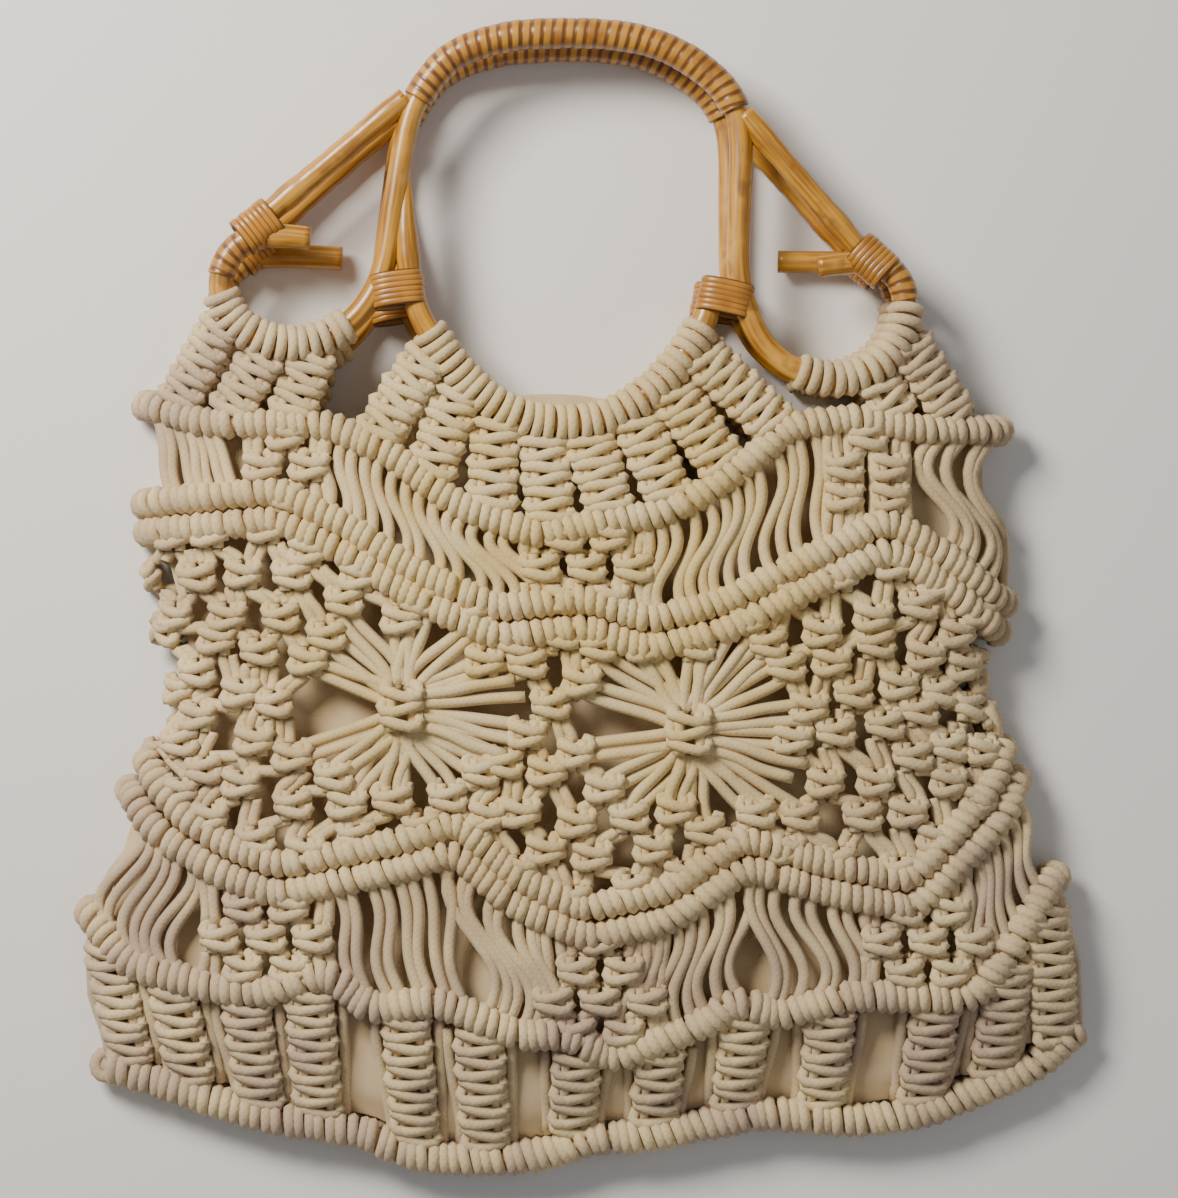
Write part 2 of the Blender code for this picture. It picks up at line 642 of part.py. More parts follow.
def add_hitches(side, name, routes):
    """A sleeve of cord loops on the cane, with its sennits joined on."""
    cane, start, end = HITCHES[name]
    route = routes[cane]
    span = route_span(route, side, (start, end))
    level = FRAME_LEVEL[side]
    sleeve = add_sleeve(side + "_" + name + "_hitches", route, span, level, 0.5 * HITCH_DIAMETER,
                        bore_radius(HITCH_SIDES), "cotton_cord", HITCH_SIDES)
    width = MOUTH_SENNIT_WIDTH if name == "mouth" else RING_SENNIT_WIDTH
    part = route[span]
    outwards = -route_normals(route)[1][span]
    bars = [add_sennit(side, part, outwards, level, width, along, across)
            for sleeve_name, along, across in SENNITS if sleeve_name == name]
    apply_boolean(sleeve, bars, "UNION")


def add_sennit(side, part, outwards, level, width, along, across):
    """A flat square-knot bar from its sleeve's wall to the rim row."""
    run = np.concatenate([[0.0], np.cumsum(np.linalg.norm(np.diff(part, axis=0), axis=1))])
    middle = 0.5 * width + along * (run[-1] - width)
    seat = SENNIT_CANE_SEAT_SHARE * CANE_DIAMETER + SENNIT_HITCH_SEAT_SHARE * HITCH_DIAMETER
    corners = []
    for reach in (-0.5, 0.5):
        at = np.clip(middle + reach * width, SENNIT_END_INSET, run[-1] - SENNIT_END_INSET)
        spot = np.array([np.interp(at, run, part[:, 0]), np.interp(at, run, part[:, 1])])
        out = np.array([np.interp(at, run, outwards[:, 0]), np.interp(at, run, outwards[:, 1])])
        corners.append(spot + seat * out / np.linalg.norm(out))
    left, right = side_edges(0.0)
    half_share = width / (right - left)
    face = 1.0 if side == "front" else -1.0
    ends = []
    for reach in (-half_share, half_share):
        down = rim_top(across + reach) - SENNIT_SEAT / BODY_LENGTH
        spot = pouch_points(np.array([across + reach]), np.array([face]), np.array([down]))[0]
        ends.append(spot)
    half = 0.5 * SENNIT_THICKNESS
    vertices = []
    for lift in (-half, half):
        vertices += [(corners[0][0], corners[0][1], level + lift), (corners[1][0], corners[1][1], level + lift)]
        for spot in (ends[1], ends[0]):
            centre = spot[2] - face * 0.5 * NET_THICKNESS
            vertices.append((spot[0], spot[1], centre + lift))
    faces = [(0, 1, 2, 3), (4, 5, 6, 7)] + ring_faces(0, 4, 4)
    return add_object("bar", vertices, faces, "cotton_cord")


def add_frame(side):
    """One handle frame with its bindings and its hitches."""
    routes = frame_routes(side)
    level = FRAME_LEVEL[side]
    radius = round_radius(CANE_DIAMETER, CANE_SIDES)
    add_tube(side + "_grip_cane", routes["grip"], level, radius, "cane")
    add_tube(side + "_mouth_cane", routes["mouth"], level, radius, "cane")
    for name in STRUTS:
        add_tube(side + "_" + name + "_strut", strut_route(side, name), level, radius, "cane")
    wrap_bore = bore_radius(CANE_SIDES)
    add_sleeve(side + "_arch_binding", routes["grip"], route_span(routes["grip"], side, ARCH_WRAP), level,
               wrap_bore + ARCH_STRIP_THICKNESS, wrap_bore, "cane_strip", CANE_SIDES)
    for name in BINDINGS:
        strut = strut_route(side, name.split("_")[0])
        held = [routes["grip"], routes["mouth"] if name.endswith("leg") else strut]
        add_binding(side, name, held)
    for name in HITCHES:
        add_hitches(side, name, routes)


def add_pouch():
    """The rows, the net bands between them, and the lining inside."""
    add_wall_row("rim_row", RIM_ROW, RIM_ROW_WIDTH, SINGLE_PROFILE)
    add_wall_row("shoulder_row", SHOULDER_ROW, DOUBLE_ROW_WIDTH, DOUBLE_PROFILE)
    add_wall_row("hem_row", HEM_ROW, DOUBLE_ROW_WIDTH, DOUBLE_PROFILE)
    add_wall_row("skirt_row", SKIRT_ROW, SKIRT_ROW_WIDTH, SINGLE_PROFILE)
    add_base_row()
    add_net_band("yoke_net", RIM_ROW, RIM_ROW_WIDTH, SHOULDER_ROW, DOUBLE_ROW_WIDTH, 1)
    add_net_band("middle_net", SHOULDER_ROW, DOUBLE_ROW_WIDTH, HEM_ROW, DOUBLE_ROW_WIDTH, 4)
    add_net_band("lower_net", HEM_ROW, DOUBLE_ROW_WIDTH, SKIRT_ROW, SKIRT_ROW_WIDTH, 1)
    seated_width = BASE_ROW_WIDTH + 2 * (BASE_SEAT - GAP)
    add_net_band("base_net", SKIRT_ROW, SKIRT_ROW_WIDTH, BASE_ROW, seated_width, 1)
    add_lining()


def centre_on_origin():
    """Moves every piece so that the origin is on the surface under the middle of the bag."""
    bpy.context.view_layer.update()
    pieces = [o for o in bpy.context.scene.objects if o.type == "MESH"]
    corners = np.array([o.matrix_world @ v.co for o in pieces for v in o.data.vertices])
    low, high = corners.min(axis=0), corners.max(axis=0)
    for piece in pieces:
        piece.location.x -= 0.5 * (low[0] + high[0])
        piece.location.y -= 0.5 * (low[1] + high[1])
        piece.location.z -= low[2]


for old in list(bpy.data.objects):
    bpy.data.objects.remove(old)
add_pouch()
for frame_side in ("front", "back"):
    add_frame(frame_side)
centre_on_origin()
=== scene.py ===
"""Looks of the knotted cotton handbag: its cords, cane, lining, floor, light and camera.

Places on the pouch are worked out in the bag's plane, with x across and y up from the rim's level,
and are moved to the frame's origin by SHIFT. All lengths are in metres.
"""
import math

import bpy
import numpy as np
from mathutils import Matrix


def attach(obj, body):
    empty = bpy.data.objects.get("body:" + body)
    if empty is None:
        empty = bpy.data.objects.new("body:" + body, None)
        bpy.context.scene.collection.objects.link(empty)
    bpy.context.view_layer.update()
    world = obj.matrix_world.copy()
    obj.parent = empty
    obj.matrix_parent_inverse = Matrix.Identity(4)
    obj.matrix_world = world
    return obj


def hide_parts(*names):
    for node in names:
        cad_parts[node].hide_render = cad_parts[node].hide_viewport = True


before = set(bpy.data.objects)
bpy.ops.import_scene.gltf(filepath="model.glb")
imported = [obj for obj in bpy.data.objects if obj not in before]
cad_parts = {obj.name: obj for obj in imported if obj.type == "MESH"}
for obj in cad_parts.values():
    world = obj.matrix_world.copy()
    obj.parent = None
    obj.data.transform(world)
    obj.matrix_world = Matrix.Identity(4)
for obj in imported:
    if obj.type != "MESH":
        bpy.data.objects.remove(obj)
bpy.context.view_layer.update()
rng = np.random.default_rng(11)

# Where the pouch's own plane lies in the frame
SHIFT = np.array([0.00165, 0.07255, 0.0])

# Cloth flattened where it rests stays this far above the floor
FLOOR_GAP = 0.0002

# Pouch
BODY_HALF_WIDTH = 0.185
BODY_LENGTH = 0.286
BODY_DEPTH = 0.033
EDGE_HEIGHT = 0.0075
PINCH_LENGTH = 0.060
BASE_RISE = 0.0050
ROW_PROUD = 0.0025
BASE_ROW_WIDTH = 0.0122
BULGE_POWER = 2.6
BACK_TURN_START, BACK_TURN_SHARE = 0.78, 0.22

# Cords and knots
CORD = 0.0044
WRAP_PITCH = 0.0040
WRAP_RADIUS = 0.525 * CORD
CORE_RADIUS = 0.0034
KNOT_WIDTH = 0.0122
KNOT_DEPTH = 0.0026
BAR_PITCH = 0.0045
MOUTH_SENNIT_SIZES = (0.0172, 0.0027)
BASE_SENNIT_WIDTH = 0.0165
COLLECTING_SIZES = (0.0145, 0.0032)
CORD_SIDES = 6
HITCH_PITCH = 0.0043
HITCH_RADIUS = 0.0053
HITCH_CORD_RADIUS = 0.00215
BRAID_PITCH = 0.0022
BRAID_RELIEF = 0.00014

# Split-cane strip: the pitch of the bindings' turns and of the close wraps, and its two half sizes
TURN_PITCH = 0.0026
CLOSE_PITCH = 0.0040
STRIP_HALF_SIZES = (0.0010, 0.0016)

# Handle frames
FRAME_HALF_SPAN = 0.129
FRAME_HEIGHT = 0.158
FRAME_SIDE_OFFSET = -0.0076
MOUTH_DROP = 0.0164
CANE_RADIUS = 0.0043
ARCH_RADIUS = 0.0056
HITCH_FLAT = 0.0074 * math.cos(math.pi / 8)
FRAME_LEVEL = {"back": HITCH_FLAT, "front": 3.0 * HITCH_FLAT + 0.0060}
BACK_SLIP_DOWN = 0.0022
BACK_TURN_DEGREES = 1.8

# Outline: down as a share of BODY_LENGTH, left and right as shares of BODY_HALF_WIDTH
OUTLINE = np.array((
    (-0.06, 0.885, 0.800), (0.00, 0.887, 0.827), (0.10, 0.890, 0.835), (0.20, 0.880, 0.843),
    (0.28, 0.845, 0.835), (0.37, 0.825, 0.780), (0.45, 0.870, 0.835), (0.55, 0.960, 0.910),
    (0.64, 1.000, 0.950), (0.74, 1.000, 0.995), (0.80, 0.995, 0.995), (0.87, 0.965, 0.950),
    (1.00, 0.930, 0.910),
))

# Fullness: down as a share of BODY_LENGTH, depth as a share of BODY_DEPTH
FULLNESS = np.array((
    (-0.06, 0.84), (0.00, 0.86), (0.15, 0.94), (0.40, 1.00), (0.70, 0.96), (1.00, 0.80),
))

# Cording rows: across as a share of the half width there, down as a share of BODY_LENGTH
RIM_ROW = np.array((
    (-1.00, 0.000), (-0.86, 0.026), (-0.56, 0.030), (-0.42, 0.066), (-0.27, 0.132), (-0.09, 0.172),
    (0.09, 0.152), (0.19, 0.146), (0.30, 0.118), (0.41, 0.075), (0.51, 0.030), (0.67, 0.020),
    (0.81, 0.035), (1.00, 0.035),
))
SHOULDER_ROW = np.array((
    (-1.00, 0.149), (-0.74, 0.136), (-0.69, 0.132), (-0.53, 0.177), (-0.37, 0.240), (-0.20, 0.284),
    (0.01, 0.272), (0.16, 0.300), (0.34, 0.275), (0.53, 0.222), (0.72, 0.170), (0.85, 0.216),
    (1.00, 0.281),
))
HEM_ROW = np.array((
    (-1.00, 0.478), (-0.93, 0.517), (-0.84, 0.553), (-0.73, 0.588), (-0.61, 0.615), (-0.34, 0.579),
    (-0.25, 0.557), (-0.12, 0.628), (0.02, 0.670), (0.19, 0.646), (0.36, 0.578), (0.52, 0.611),
    (0.69, 0.633), (0.83, 0.561), (0.95, 0.504), (1.00, 0.462),
))
SKIRT_ROW = np.array((
    (-1.00, 0.654), (-0.92, 0.724), (-0.74, 0.756), (-0.64, 0.760), (-0.51, 0.732), (-0.43, 0.782),
    (-0.30, 0.769), (-0.13, 0.815), (-0.05, 0.811), (0.06, 0.846), (0.25, 0.795), (0.30, 0.768),
    (0.38, 0.790), (0.53, 0.763), (0.77, 0.768), (0.87, 0.700), (1.00, 0.612),
))
BASE_ROW = np.array((
    (-1.00, 0.860), (-0.79, 0.905), (-0.69, 0.926), (-0.47, 0.947), (-0.39, 0.972), (-0.29, 0.982),
    (-0.16, 0.982), (-0.05, 0.972), (0.02, 0.955), (0.13, 0.953), (0.385, 0.922), (0.60, 0.933),
    (0.73, 0.922), (0.85, 0.890), (0.96, 0.859), (1.00, 0.805),
))

# Canes: across as a share of FRAME_HALF_SPAN, up as a share of FRAME_HEIGHT
LEFT_STUB_END = {"front": (-0.73, 0.485), "back": (-0.63, 0.48)}
RIGHT_STUB_END = {"front": (0.72, 0.42), "back": (0.63, 0.44)}
GRIP_CANE = (
    (-0.81, 0.49), (-0.90, 0.485), (-0.967, 0.435), (-0.985, 0.363), (-0.945, 0.293), (-0.855, 0.247),
    (-0.748, 0.241), (-0.652, 0.269), (-0.573, 0.328), (-0.521, 0.415), (-0.487, 0.578),
    (-0.452, 0.742), (-0.407, 0.831), (-0.318, 0.911), (-0.175, 0.953), (-0.017, 0.963),
    (0.140, 0.958), (0.270, 0.934), (0.384, 0.883), (0.468, 0.813), (0.499, 0.719), (0.496, 0.555),
    (0.493, 0.415), (0.516, 0.321), (0.567, 0.239), (0.656, 0.180), (0.771, 0.157), (0.877, 0.184),
    (0.951, 0.251), (0.971, 0.333), (0.937, 0.403), (0.848, 0.429),
)
MOUTH_CANE = (
    (-0.456, 0.620), (-0.455, 0.500), (-0.438, 0.368), (-0.407, 0.293), (-0.338, 0.208),
    (-0.241, 0.122), (-0.126, 0.068), (-0.003, 0.054), (0.120, 0.070), (0.241, 0.129),
    (0.332, 0.208), (0.395, 0.293), (0.418, 0.379),
)
STRUTS = {"left": ((-0.455, 0.812), (-0.860, 0.536)), "right": ((0.508, 0.775), (0.835, 0.462))}

# Bindings: centre on the frame, turn in degrees, half width and half length in metres
BINDINGS = {
    "left_leg": ((-0.480, 0.365), 8.0, 0.0104, 0.0062),
    "right_leg": ((0.455, 0.345), -12.0, 0.0104, 0.0062),
    "left_ring": ((-0.880, 0.512), -52.0, 0.0078, 0.0074),
    "right_ring": ((0.875, 0.432), 48.0, 0.0078, 0.0074),
}
ARCH_WRAP = ((-0.425, 0.805), (0.480, 0.785))
RING_WRAPS = {
    "left_ring": ((-0.860, 0.492), (-0.978, 0.395)),
    "right_ring": ((0.972, 0.345), (0.890, 0.420)),
}
RING_WRAP_RADIUS = 0.0050
HITCHES = {
    "mouth": ("mouth", (-0.385, 0.262), (0.385, 0.270)),
    "left_ring": ("grip", (-0.985, 0.350), (-0.640, 0.277)),
    "right_ring": ("grip", (0.670, 0.170), (0.971, 0.315)),
}

# Sennits at the mouth: sleeve, how far along it as a share, and across at the rim row
SENNITS = (
    ("left_ring", 0.14, -0.925), ("left_ring", 0.50, -0.800), ("left_ring", 0.84, -0.655),
    ("mouth", 0.035, -0.455), ("mouth", 0.165, -0.330), ("mouth", 0.300, -0.190), ("mouth", 0.435, -0.055),
    ("mouth", 0.570, 0.085), ("mouth", 0.700, 0.225), ("mouth", 0.830, 0.355), ("mouth", 0.965, 0.480),
    ("right_ring", 0.52, 0.765), ("right_ring", 0.86, 0.905),
)

# Sennits above the base row: across where each starts and where it ends
BASE_SENNITS = (
    (-0.96, -0.94), (-0.83, -0.82), (-0.68, -0.68), (-0.55, -0.56), (-0.36, -0.355), (-0.215, -0.205),
    (-0.015, -0.02), (0.155, 0.155), (0.32, 0.325), (0.49, 0.51), (0.70, 0.72), (0.86, 0.86), (0.965, 0.965),
)

# Free cords between rows: the upper and lower row, across at the top from and to, across at the
# bottom from and to, how many cords, and the sway of their S as a share of their length
FREE_CORDS = (
    ("rim", "shoulder", -0.97, -0.83, -0.93, -0.78, 7, 0.10),
    ("rim", "shoulder", -0.56, -0.37, -0.57, -0.37, 7, -0.12),
    ("rim", "shoulder", -0.34, -0.12, -0.33, -0.04, 8, -0.20),
    ("rim", "shoulder", 0.12, 0.33, 0.09, 0.30, 7, 0.16),
    ("rim", "shoulder", 0.36, 0.56, 0.32, 0.57, 7, 0.13),
    ("rim", "shoulder", 0.83, 0.98, 0.84, 0.97, 6, -0.24),
    ("hem", "skirt", -0.97, -0.80, -0.96, -0.82, 7, 0.18),
    ("hem", "skirt", -0.50, -0.28, -0.46, -0.24, 8, 0.12),
    ("hem", "skirt", -0.25, -0.08, -0.20, -0.06, 7, -0.16),
    ("hem", "skirt", 0.12, 0.35, 0.08, 0.31, 8, 0.14),
    ("hem", "skirt", 0.37, 0.60, 0.36, 0.60, 8, -0.14),
    ("hem", "skirt", 0.80, 0.97, 0.78, 0.96, 7, 0.16),
)

# Small fields of square knots: across and down of the middle, rows from the top
DIAMONDS = (
    (-0.66, 0.085, (1, 2, 1)), (0.02, 0.215, (2, 3, 2)), (0.68, 0.085, (1, 2, 2)),
    (-0.63, 0.690, (2, 3, 2)), (0.03, 0.750, (1, 2, 3, 2)), (0.70, 0.695, (2, 3, 2)),
)

# Spiders: across and down of the collecting knot, and how far its cords reach across. Their reach up
# and down is SPIDER_FLATNESS of that. Tails start and end at places measured from the collecting knot
SPIDERS = ((-0.42, 0.395, 0.038), (0.265, 0.425, 0.038))
SPIDER_FLATNESS = 0.72
COLLECTING_REACH = 0.0078
TAIL_STARTS = np.array(((0.0045, 0.0050), (0.0052, 0.0020), (0.0052, -0.0022), (0.0045, -0.0054)))
TAIL_ENDS = np.array(((0.041, 0.0105), (0.045, 0.0046), (0.043, -0.0115), (0.038, -0.0165)))

# The middle band's field of knots, and the pitch of the small fields
BAND_ROWS = 8
BAND_COLUMNS = 18
FIELD_PITCH = (0.0172, 0.0112)


def blend(table, column, at):
    """A table's column read at a place, straight between its rows."""
    return np.interp(at, table[:, 0], table[:, column])


def soften(table, at, width=0.05):
    """A row's course with its corners rounded over a width."""
    return np.mean([blend(table, 1, at + shift * width) for shift in np.linspace(-0.5, 0.5, 5)], axis=0)


def side_edges(down):
    """Where the pouch's left and right edges are across."""
    return -BODY_HALF_WIDTH * blend(OUTLINE, 1, down), BODY_HALF_WIDTH * blend(OUTLINE, 2, down)


def pouch(across, face, down):
    """The net's outer face: a lens-shaped section, flat at the back and pinched above the base row."""
    across, face, down = np.broadcast_arrays(across, face, down)
    left, right = side_edges(down)
    x = 0.5 * (left + right) + 0.5 * (right - left) * across
    above = (blend(BASE_ROW, 1, across) - down) * BODY_LENGTH - 0.5 * BASE_ROW_WIDTH
    pinched = 1.0 - (1.0 - np.clip(above / PINCH_LENGTH, 0.0, 1.0)) ** 2
    rise = BASE_RISE + (BODY_DEPTH * blend(FULLNESS, 1, down) - EDGE_HEIGHT - BASE_RISE) * pinched
    bulge = np.clip(1.0 - np.abs(across) ** BULGE_POWER, 0.0, 1.0) ** (1.0 / BULGE_POWER)
    front = EDGE_HEIGHT + rise * bulge
    turn = np.clip((np.abs(across) - BACK_TURN_START) / BACK_TURN_SHARE, 0.0, 1.0)
    back = EDGE_HEIGHT - (EDGE_HEIGHT - ROW_PROUD) * np.sqrt(1.0 - turn ** 2)
    return np.stack([x, -BODY_LENGTH * down, np.where(face > 0, front, back)], axis=-1)


def unit(vectors):
    """Vectors made one long."""
    return vectors / np.maximum(np.linalg.norm(vectors, axis=-1, keepdims=True), 1e-12)


def pouch_normal(across, face, down):
    """The pouch's outward direction, from differences across and down."""
    across = np.clip(across, -0.985, 0.985)
    step = 0.004
    sideways = pouch(across + step, face, down) - pouch(across - step, face, down)
    downwards = pouch(across, face, down - step) - pouch(across, face, down + step)
    return unit(np.cross(sideways, downwards)) * np.asarray(face)[..., None]


def drape(plan, face, lift):
    """Points over the pouch at plan places (x, y), raised by lift from the net's outer face."""
    down = -plan[..., 1] / BODY_LENGTH
    left, right = side_edges(down)
    across = np.clip((plan[..., 0] - 0.5 * (left + right)) / (0.5 * (right - left)), -1.0, 1.0)
    faces = np.full(across.shape, float(face))
    points = pouch(across, faces, down)
    return points + np.asarray(lift)[..., None] * pouch_normal(across, faces, down)


def plan_at(across, down):
    """The plan place of an across share and a down share."""
    left, right = side_edges(down)
    return np.stack([0.5 * (left + right) + 0.5 * (right - left) * across, -BODY_LENGTH * down], axis=-1)


def smooth_route(points, step):
    """Points about one step apart on a Catmull-Rom curve through the given points."""
    points = np.array(points, float)
    padded = np.vstack([2 * points[0] - points[1], points, 2 * points[-1] - points[-2]])
    a, b, c, d = (padded[k:len(padded) - 3 + k][:, None, :] for k in range(4))
    t = np.linspace(0.0, 1.0, 24, endpoint=False)[None, :, None]
    fine = 0.5 * (2 * b + (c - a) * t + (2 * a - 5 * b + 4 * c - d) * t ** 2
                  + (3 * b - a - 3 * c + d) * t ** 3)
    fine = np.vstack([fine.reshape(-1, points.shape[1]), points[-1]])
    return even_points(fine, step)


def even_points(points, step):
    """A polyline's points spread evenly, about one step apart."""
    run = np.concatenate([[0.0], np.cumsum(np.linalg.norm(np.diff(points, axis=0), axis=1))])
    stations = np.linspace(0.0, run[-1], max(2, round(run[-1] / step) + 1))
    return np.stack([np.interp(stations, run, points[:, k]) for k in range(points.shape[1])], axis=-1)


def tube_arrays(paths, reference, radius, sides=CORD_SIDES, closed=False):
    """Tubes along many paths at once: a round section carried at right angles to each path.

    paths is (tubes, points, 3); reference is a direction that no path runs along, one for each tube
    or point; radius is one number, one for each point, or one for each point and side. Returns
    vertices, quads and their uv, with u the run along the tube in metres and v the turn round it.
    """
    paths = np.asarray(paths, float)
    count, length = paths.shape[:2]
    if closed:
        tangent = unit(np.roll(paths, -1, axis=1) - np.roll(paths, 1, axis=1))
    else:
        tangent = unit(np.gradient(paths, axis=1))
    reference = np.broadcast_to(reference, paths.shape)
    second = unit(reference - np.sum(reference * tangent, axis=-1, keepdims=True) * tangent)
    first = np.cross(second, tangent)
    angles = 2 * math.pi * np.arange(sides) / sides
    radius = np.asarray(radius, float)
    if radius.ndim < 3:
        radius = np.broadcast_to(radius, (count, length))[..., None]
    radius = radius[..., None]
    rings = paths[:, :, None] + radius * (np.cos(angles)[:, None] * first[:, :, None]
                                          + np.sin(angles)[:, None] * second[:, :, None])
    stop = length if closed else length - 1
    tube, ring, side = np.meshgrid(np.arange(count), np.arange(stop), np.arange(sides), indexing="ij")
    after, beside = (ring + 1) % length, (side + 1) % sides
    here, there = (tube * length + ring) * sides, (tube * length + after) * sides
    quads = np.stack([here + side, here + beside, there + beside, there + side], axis=-1)
    steps = np.linalg.norm(np.diff(paths, axis=1, append=paths[:, :1]), axis=-1)
    run = np.cumsum(np.pad(steps, ((0, 0), (1, 0))), axis=1)
    u_here, u_next = run[tube, ring], run[tube, ring + 1]
    turn, turned = side / sides, (side + 1) / sides
    uv = np.stack([u_here, turn, u_here, turned, u_next, turned, u_next, turn], axis=-1)
    quads, uv = quads.reshape(-1, 4), uv.reshape(-1, 4, 2)
    if not closed:
        starts = np.arange(count)[:, None] * length * sides
        fan = np.array([(0, k, k + 1, k + 2) for k in range(1, sides - 1, 2)])
        last = starts + (length - 1) * sides
        caps = [starts + quad[::-1] for quad in fan] + [last + quad for quad in fan]
        quads = np.concatenate([quads] + caps)
        uv = np.concatenate([uv, np.zeros((len(caps) * count, 4, 2))])
    return rings.reshape(-1, 3), quads, uv


def add_mesh(name, parts, material, nodes):
    """One object from several sets of vertices, quads and uv, riding on the bag."""
    offsets = np.cumsum([0] + [len(part[0]) for part in parts])
    vertices = np.concatenate([part[0] for part in parts]) + SHIFT
    vertices[:, 2] = np.maximum(vertices[:, 2], FLOOR_GAP)
    quads = np.concatenate([part[1] + offset for part, offset in zip(parts, offsets)])
    uv = np.concatenate([part[2] for part in parts])
    mesh = bpy.data.meshes.new(name)
    mesh.vertices.add(len(vertices))
    mesh.vertices.foreach_set("co", vertices.astype(np.float32).ravel())
    mesh.loops.add(quads.size)
    mesh.loops.foreach_set("vertex_index", quads.astype(np.int32).ravel())
    mesh.polygons.add(len(quads))
    mesh.polygons.foreach_set("loop_start", np.arange(0, quads.size, 4, dtype=np.int32))
    mesh.uv_layers.new(name="UVMap").data.foreach_set("uv", uv.astype(np.float32).ravel())
    mesh.update(calc_edges=True)
    mesh.validate()
    mesh.shade_smooth()
    mesh.materials.append(material)
    piece = bpy.data.objects.new(name, mesh)
    bpy.context.scene.collection.objects.link(piece)
    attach(piece, "root")
    if nodes:
        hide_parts(*nodes)
    return piece


ROWS = {"rim": (RIM_ROW, 0.0100), "shoulder": (SHOULDER_ROW, 0.0200), "hem": (HEM_ROW, 0.0200),
        "skirt": (SKIRT_ROW, 0.0118), "base": (BASE_ROW, BASE_ROW_WIDTH)}
FACES = {"front": 1.0, "back": -1.0}
UP = np.array([0.0, 0.0, 1.0])


def jitter(shape, share):
    """Numbers near one, that differ by a share."""
    return 1.0 + share * rng.uniform(-1.0, 1.0, shape)


def ring(name, offset, pitch):
    """A row's closed course round the pouch with one place for each wrap.

    Returns the places and, at each, the directions along the row, down the wall and outwards.
    """
    across = np.sin(np.linspace(-0.5 * math.pi, 0.5 * math.pi, 500))
    down = soften(ROWS[name][0], across) + offset / BODY_LENGTH
    course = np.concatenate([pouch(across, 1.0, down), pouch(across, -1.0, down)[-2:0:-1]])
    course = even_points(np.vstack([course, course[:1]]), pitch)[:-1]
    along = unit(np.roll(course, -1, axis=0) - np.roll(course, 1, axis=0))
    downwards = unit(np.array([0.0, -1.0, 0.0]) + along * along[:, 1:2])
    return course, along, downwards, np.cross(downwards, along)


def row_wraps(name, lines, half_width, height, lift, slant):
    """A cording row: half hitches side by side over each line's core cord, each an arc across it.

    An arc runs from -125 to 125 degrees round the row, half_width wide and height high.
    """
    parts = []
    for line in lines:
        places, along, down, out = ring(name, line, WRAP_PITCH)
        turn = np.radians(np.linspace(-125.0, 125.0, 9))[None, :, None]
        lean = slant * jitter((len(places), 1, 1), 0.35)
        swell = jitter((len(places), 1, 1), 0.06)
        places = places + out * lift
        parts.append(tube_arrays(places[None], down[None], CORE_RADIUS, closed=True))
        paths = (places[:, None] + down[:, None] * half_width * swell * np.sin(turn)
                 + out[:, None] * height * swell * np.cos(turn)
                 + along[:, None] * (lean * np.sin(turn)
                                     + 0.10 * CORD * rng.normal(size=(len(places), 1, 1))))
        parts.append(tube_arrays(paths, along[:, None], WRAP_RADIUS * jitter((len(places), 1), 0.05)))
    return parts


# A half knot's front bar: across, along and outwards, as shares of its width, pitch and depth
HALF_KNOT = np.array((
    (-0.26, 0.78, -0.60), (-0.44, 0.62, -0.10), (-0.50, 0.22, 0.38), (-0.43, -0.16, 0.72),
    (-0.20, -0.22, 0.98), (0.08, -0.02, 1.05), (0.30, 0.20, 0.88), (0.46, 0.32, 0.38),
    (0.47, 0.58, -0.15), (0.28, 0.74, -0.60),
))


def half_knots(places, beside, along, out, width, pitch, depth, turned):
    """Half knots stamped at places. turned is 1 or -1 for each and mirrors it left to right."""
    size = np.stack(np.broadcast_arrays(width * turned, pitch, depth), axis=-1)
    shape = HALF_KNOT[None] * size[:, None]
    paths = (places[:, None] + beside[:, None] * shape[..., :1] + along[:, None] * shape[..., 1:2]
             + out[:, None] * shape[..., 2:])
    return tube_arrays(paths, along[:, None], 0.5 * CORD * jitter((len(places), 1), 0.05))


def cores(starts, ends, out, spread):
    """The two straight cords inside a run of half knots."""
    run = np.linspace(0.0, 1.0, 5)[None, :, None]
    beside = unit(np.cross(ends - starts, out))
    middle = starts[:, None] + (ends - starts)[:, None] * run
    paths = [middle + beside[:, None] * side * spread for side in (-1, 1)]
    return tube_arrays(np.concatenate(paths), np.tile(out, (2, 1))[:, None], 0.5 * CORD)


def bars_along(start, end):
    """The half knots of a sennit from start to end: their places, pitch and turns."""
    length = np.linalg.norm(end - start)
    count = max(2, round(length / BAR_PITCH))
    share = ((np.arange(count) + 0.5) / count)[:, None]
    return start + (end - start) * share, length / count, np.where(np.arange(count) % 2, 1.0, -1.0)


def bars_between(starts, ends, outs):
    """Sennits of half knots from starts to ends, with their two core cords."""
    width, depth = MOUTH_SENNIT_SIZES
    parts = [cores(starts, ends, outs, 0.24 * width)]
    for start, end, out in zip(starts, ends, outs):
        places, pitch, turned = bars_along(start, end)
        along = unit(start - end)
        beside = np.cross(along, out)
        wide = width * jitter(len(places), 0.04)
        beside, along, out = (np.tile(vector, (len(places), 1)) for vector in (beside, along, out))
        parts.append(half_knots(places, beside, along, out, wide, pitch, depth, turned))
    return parts


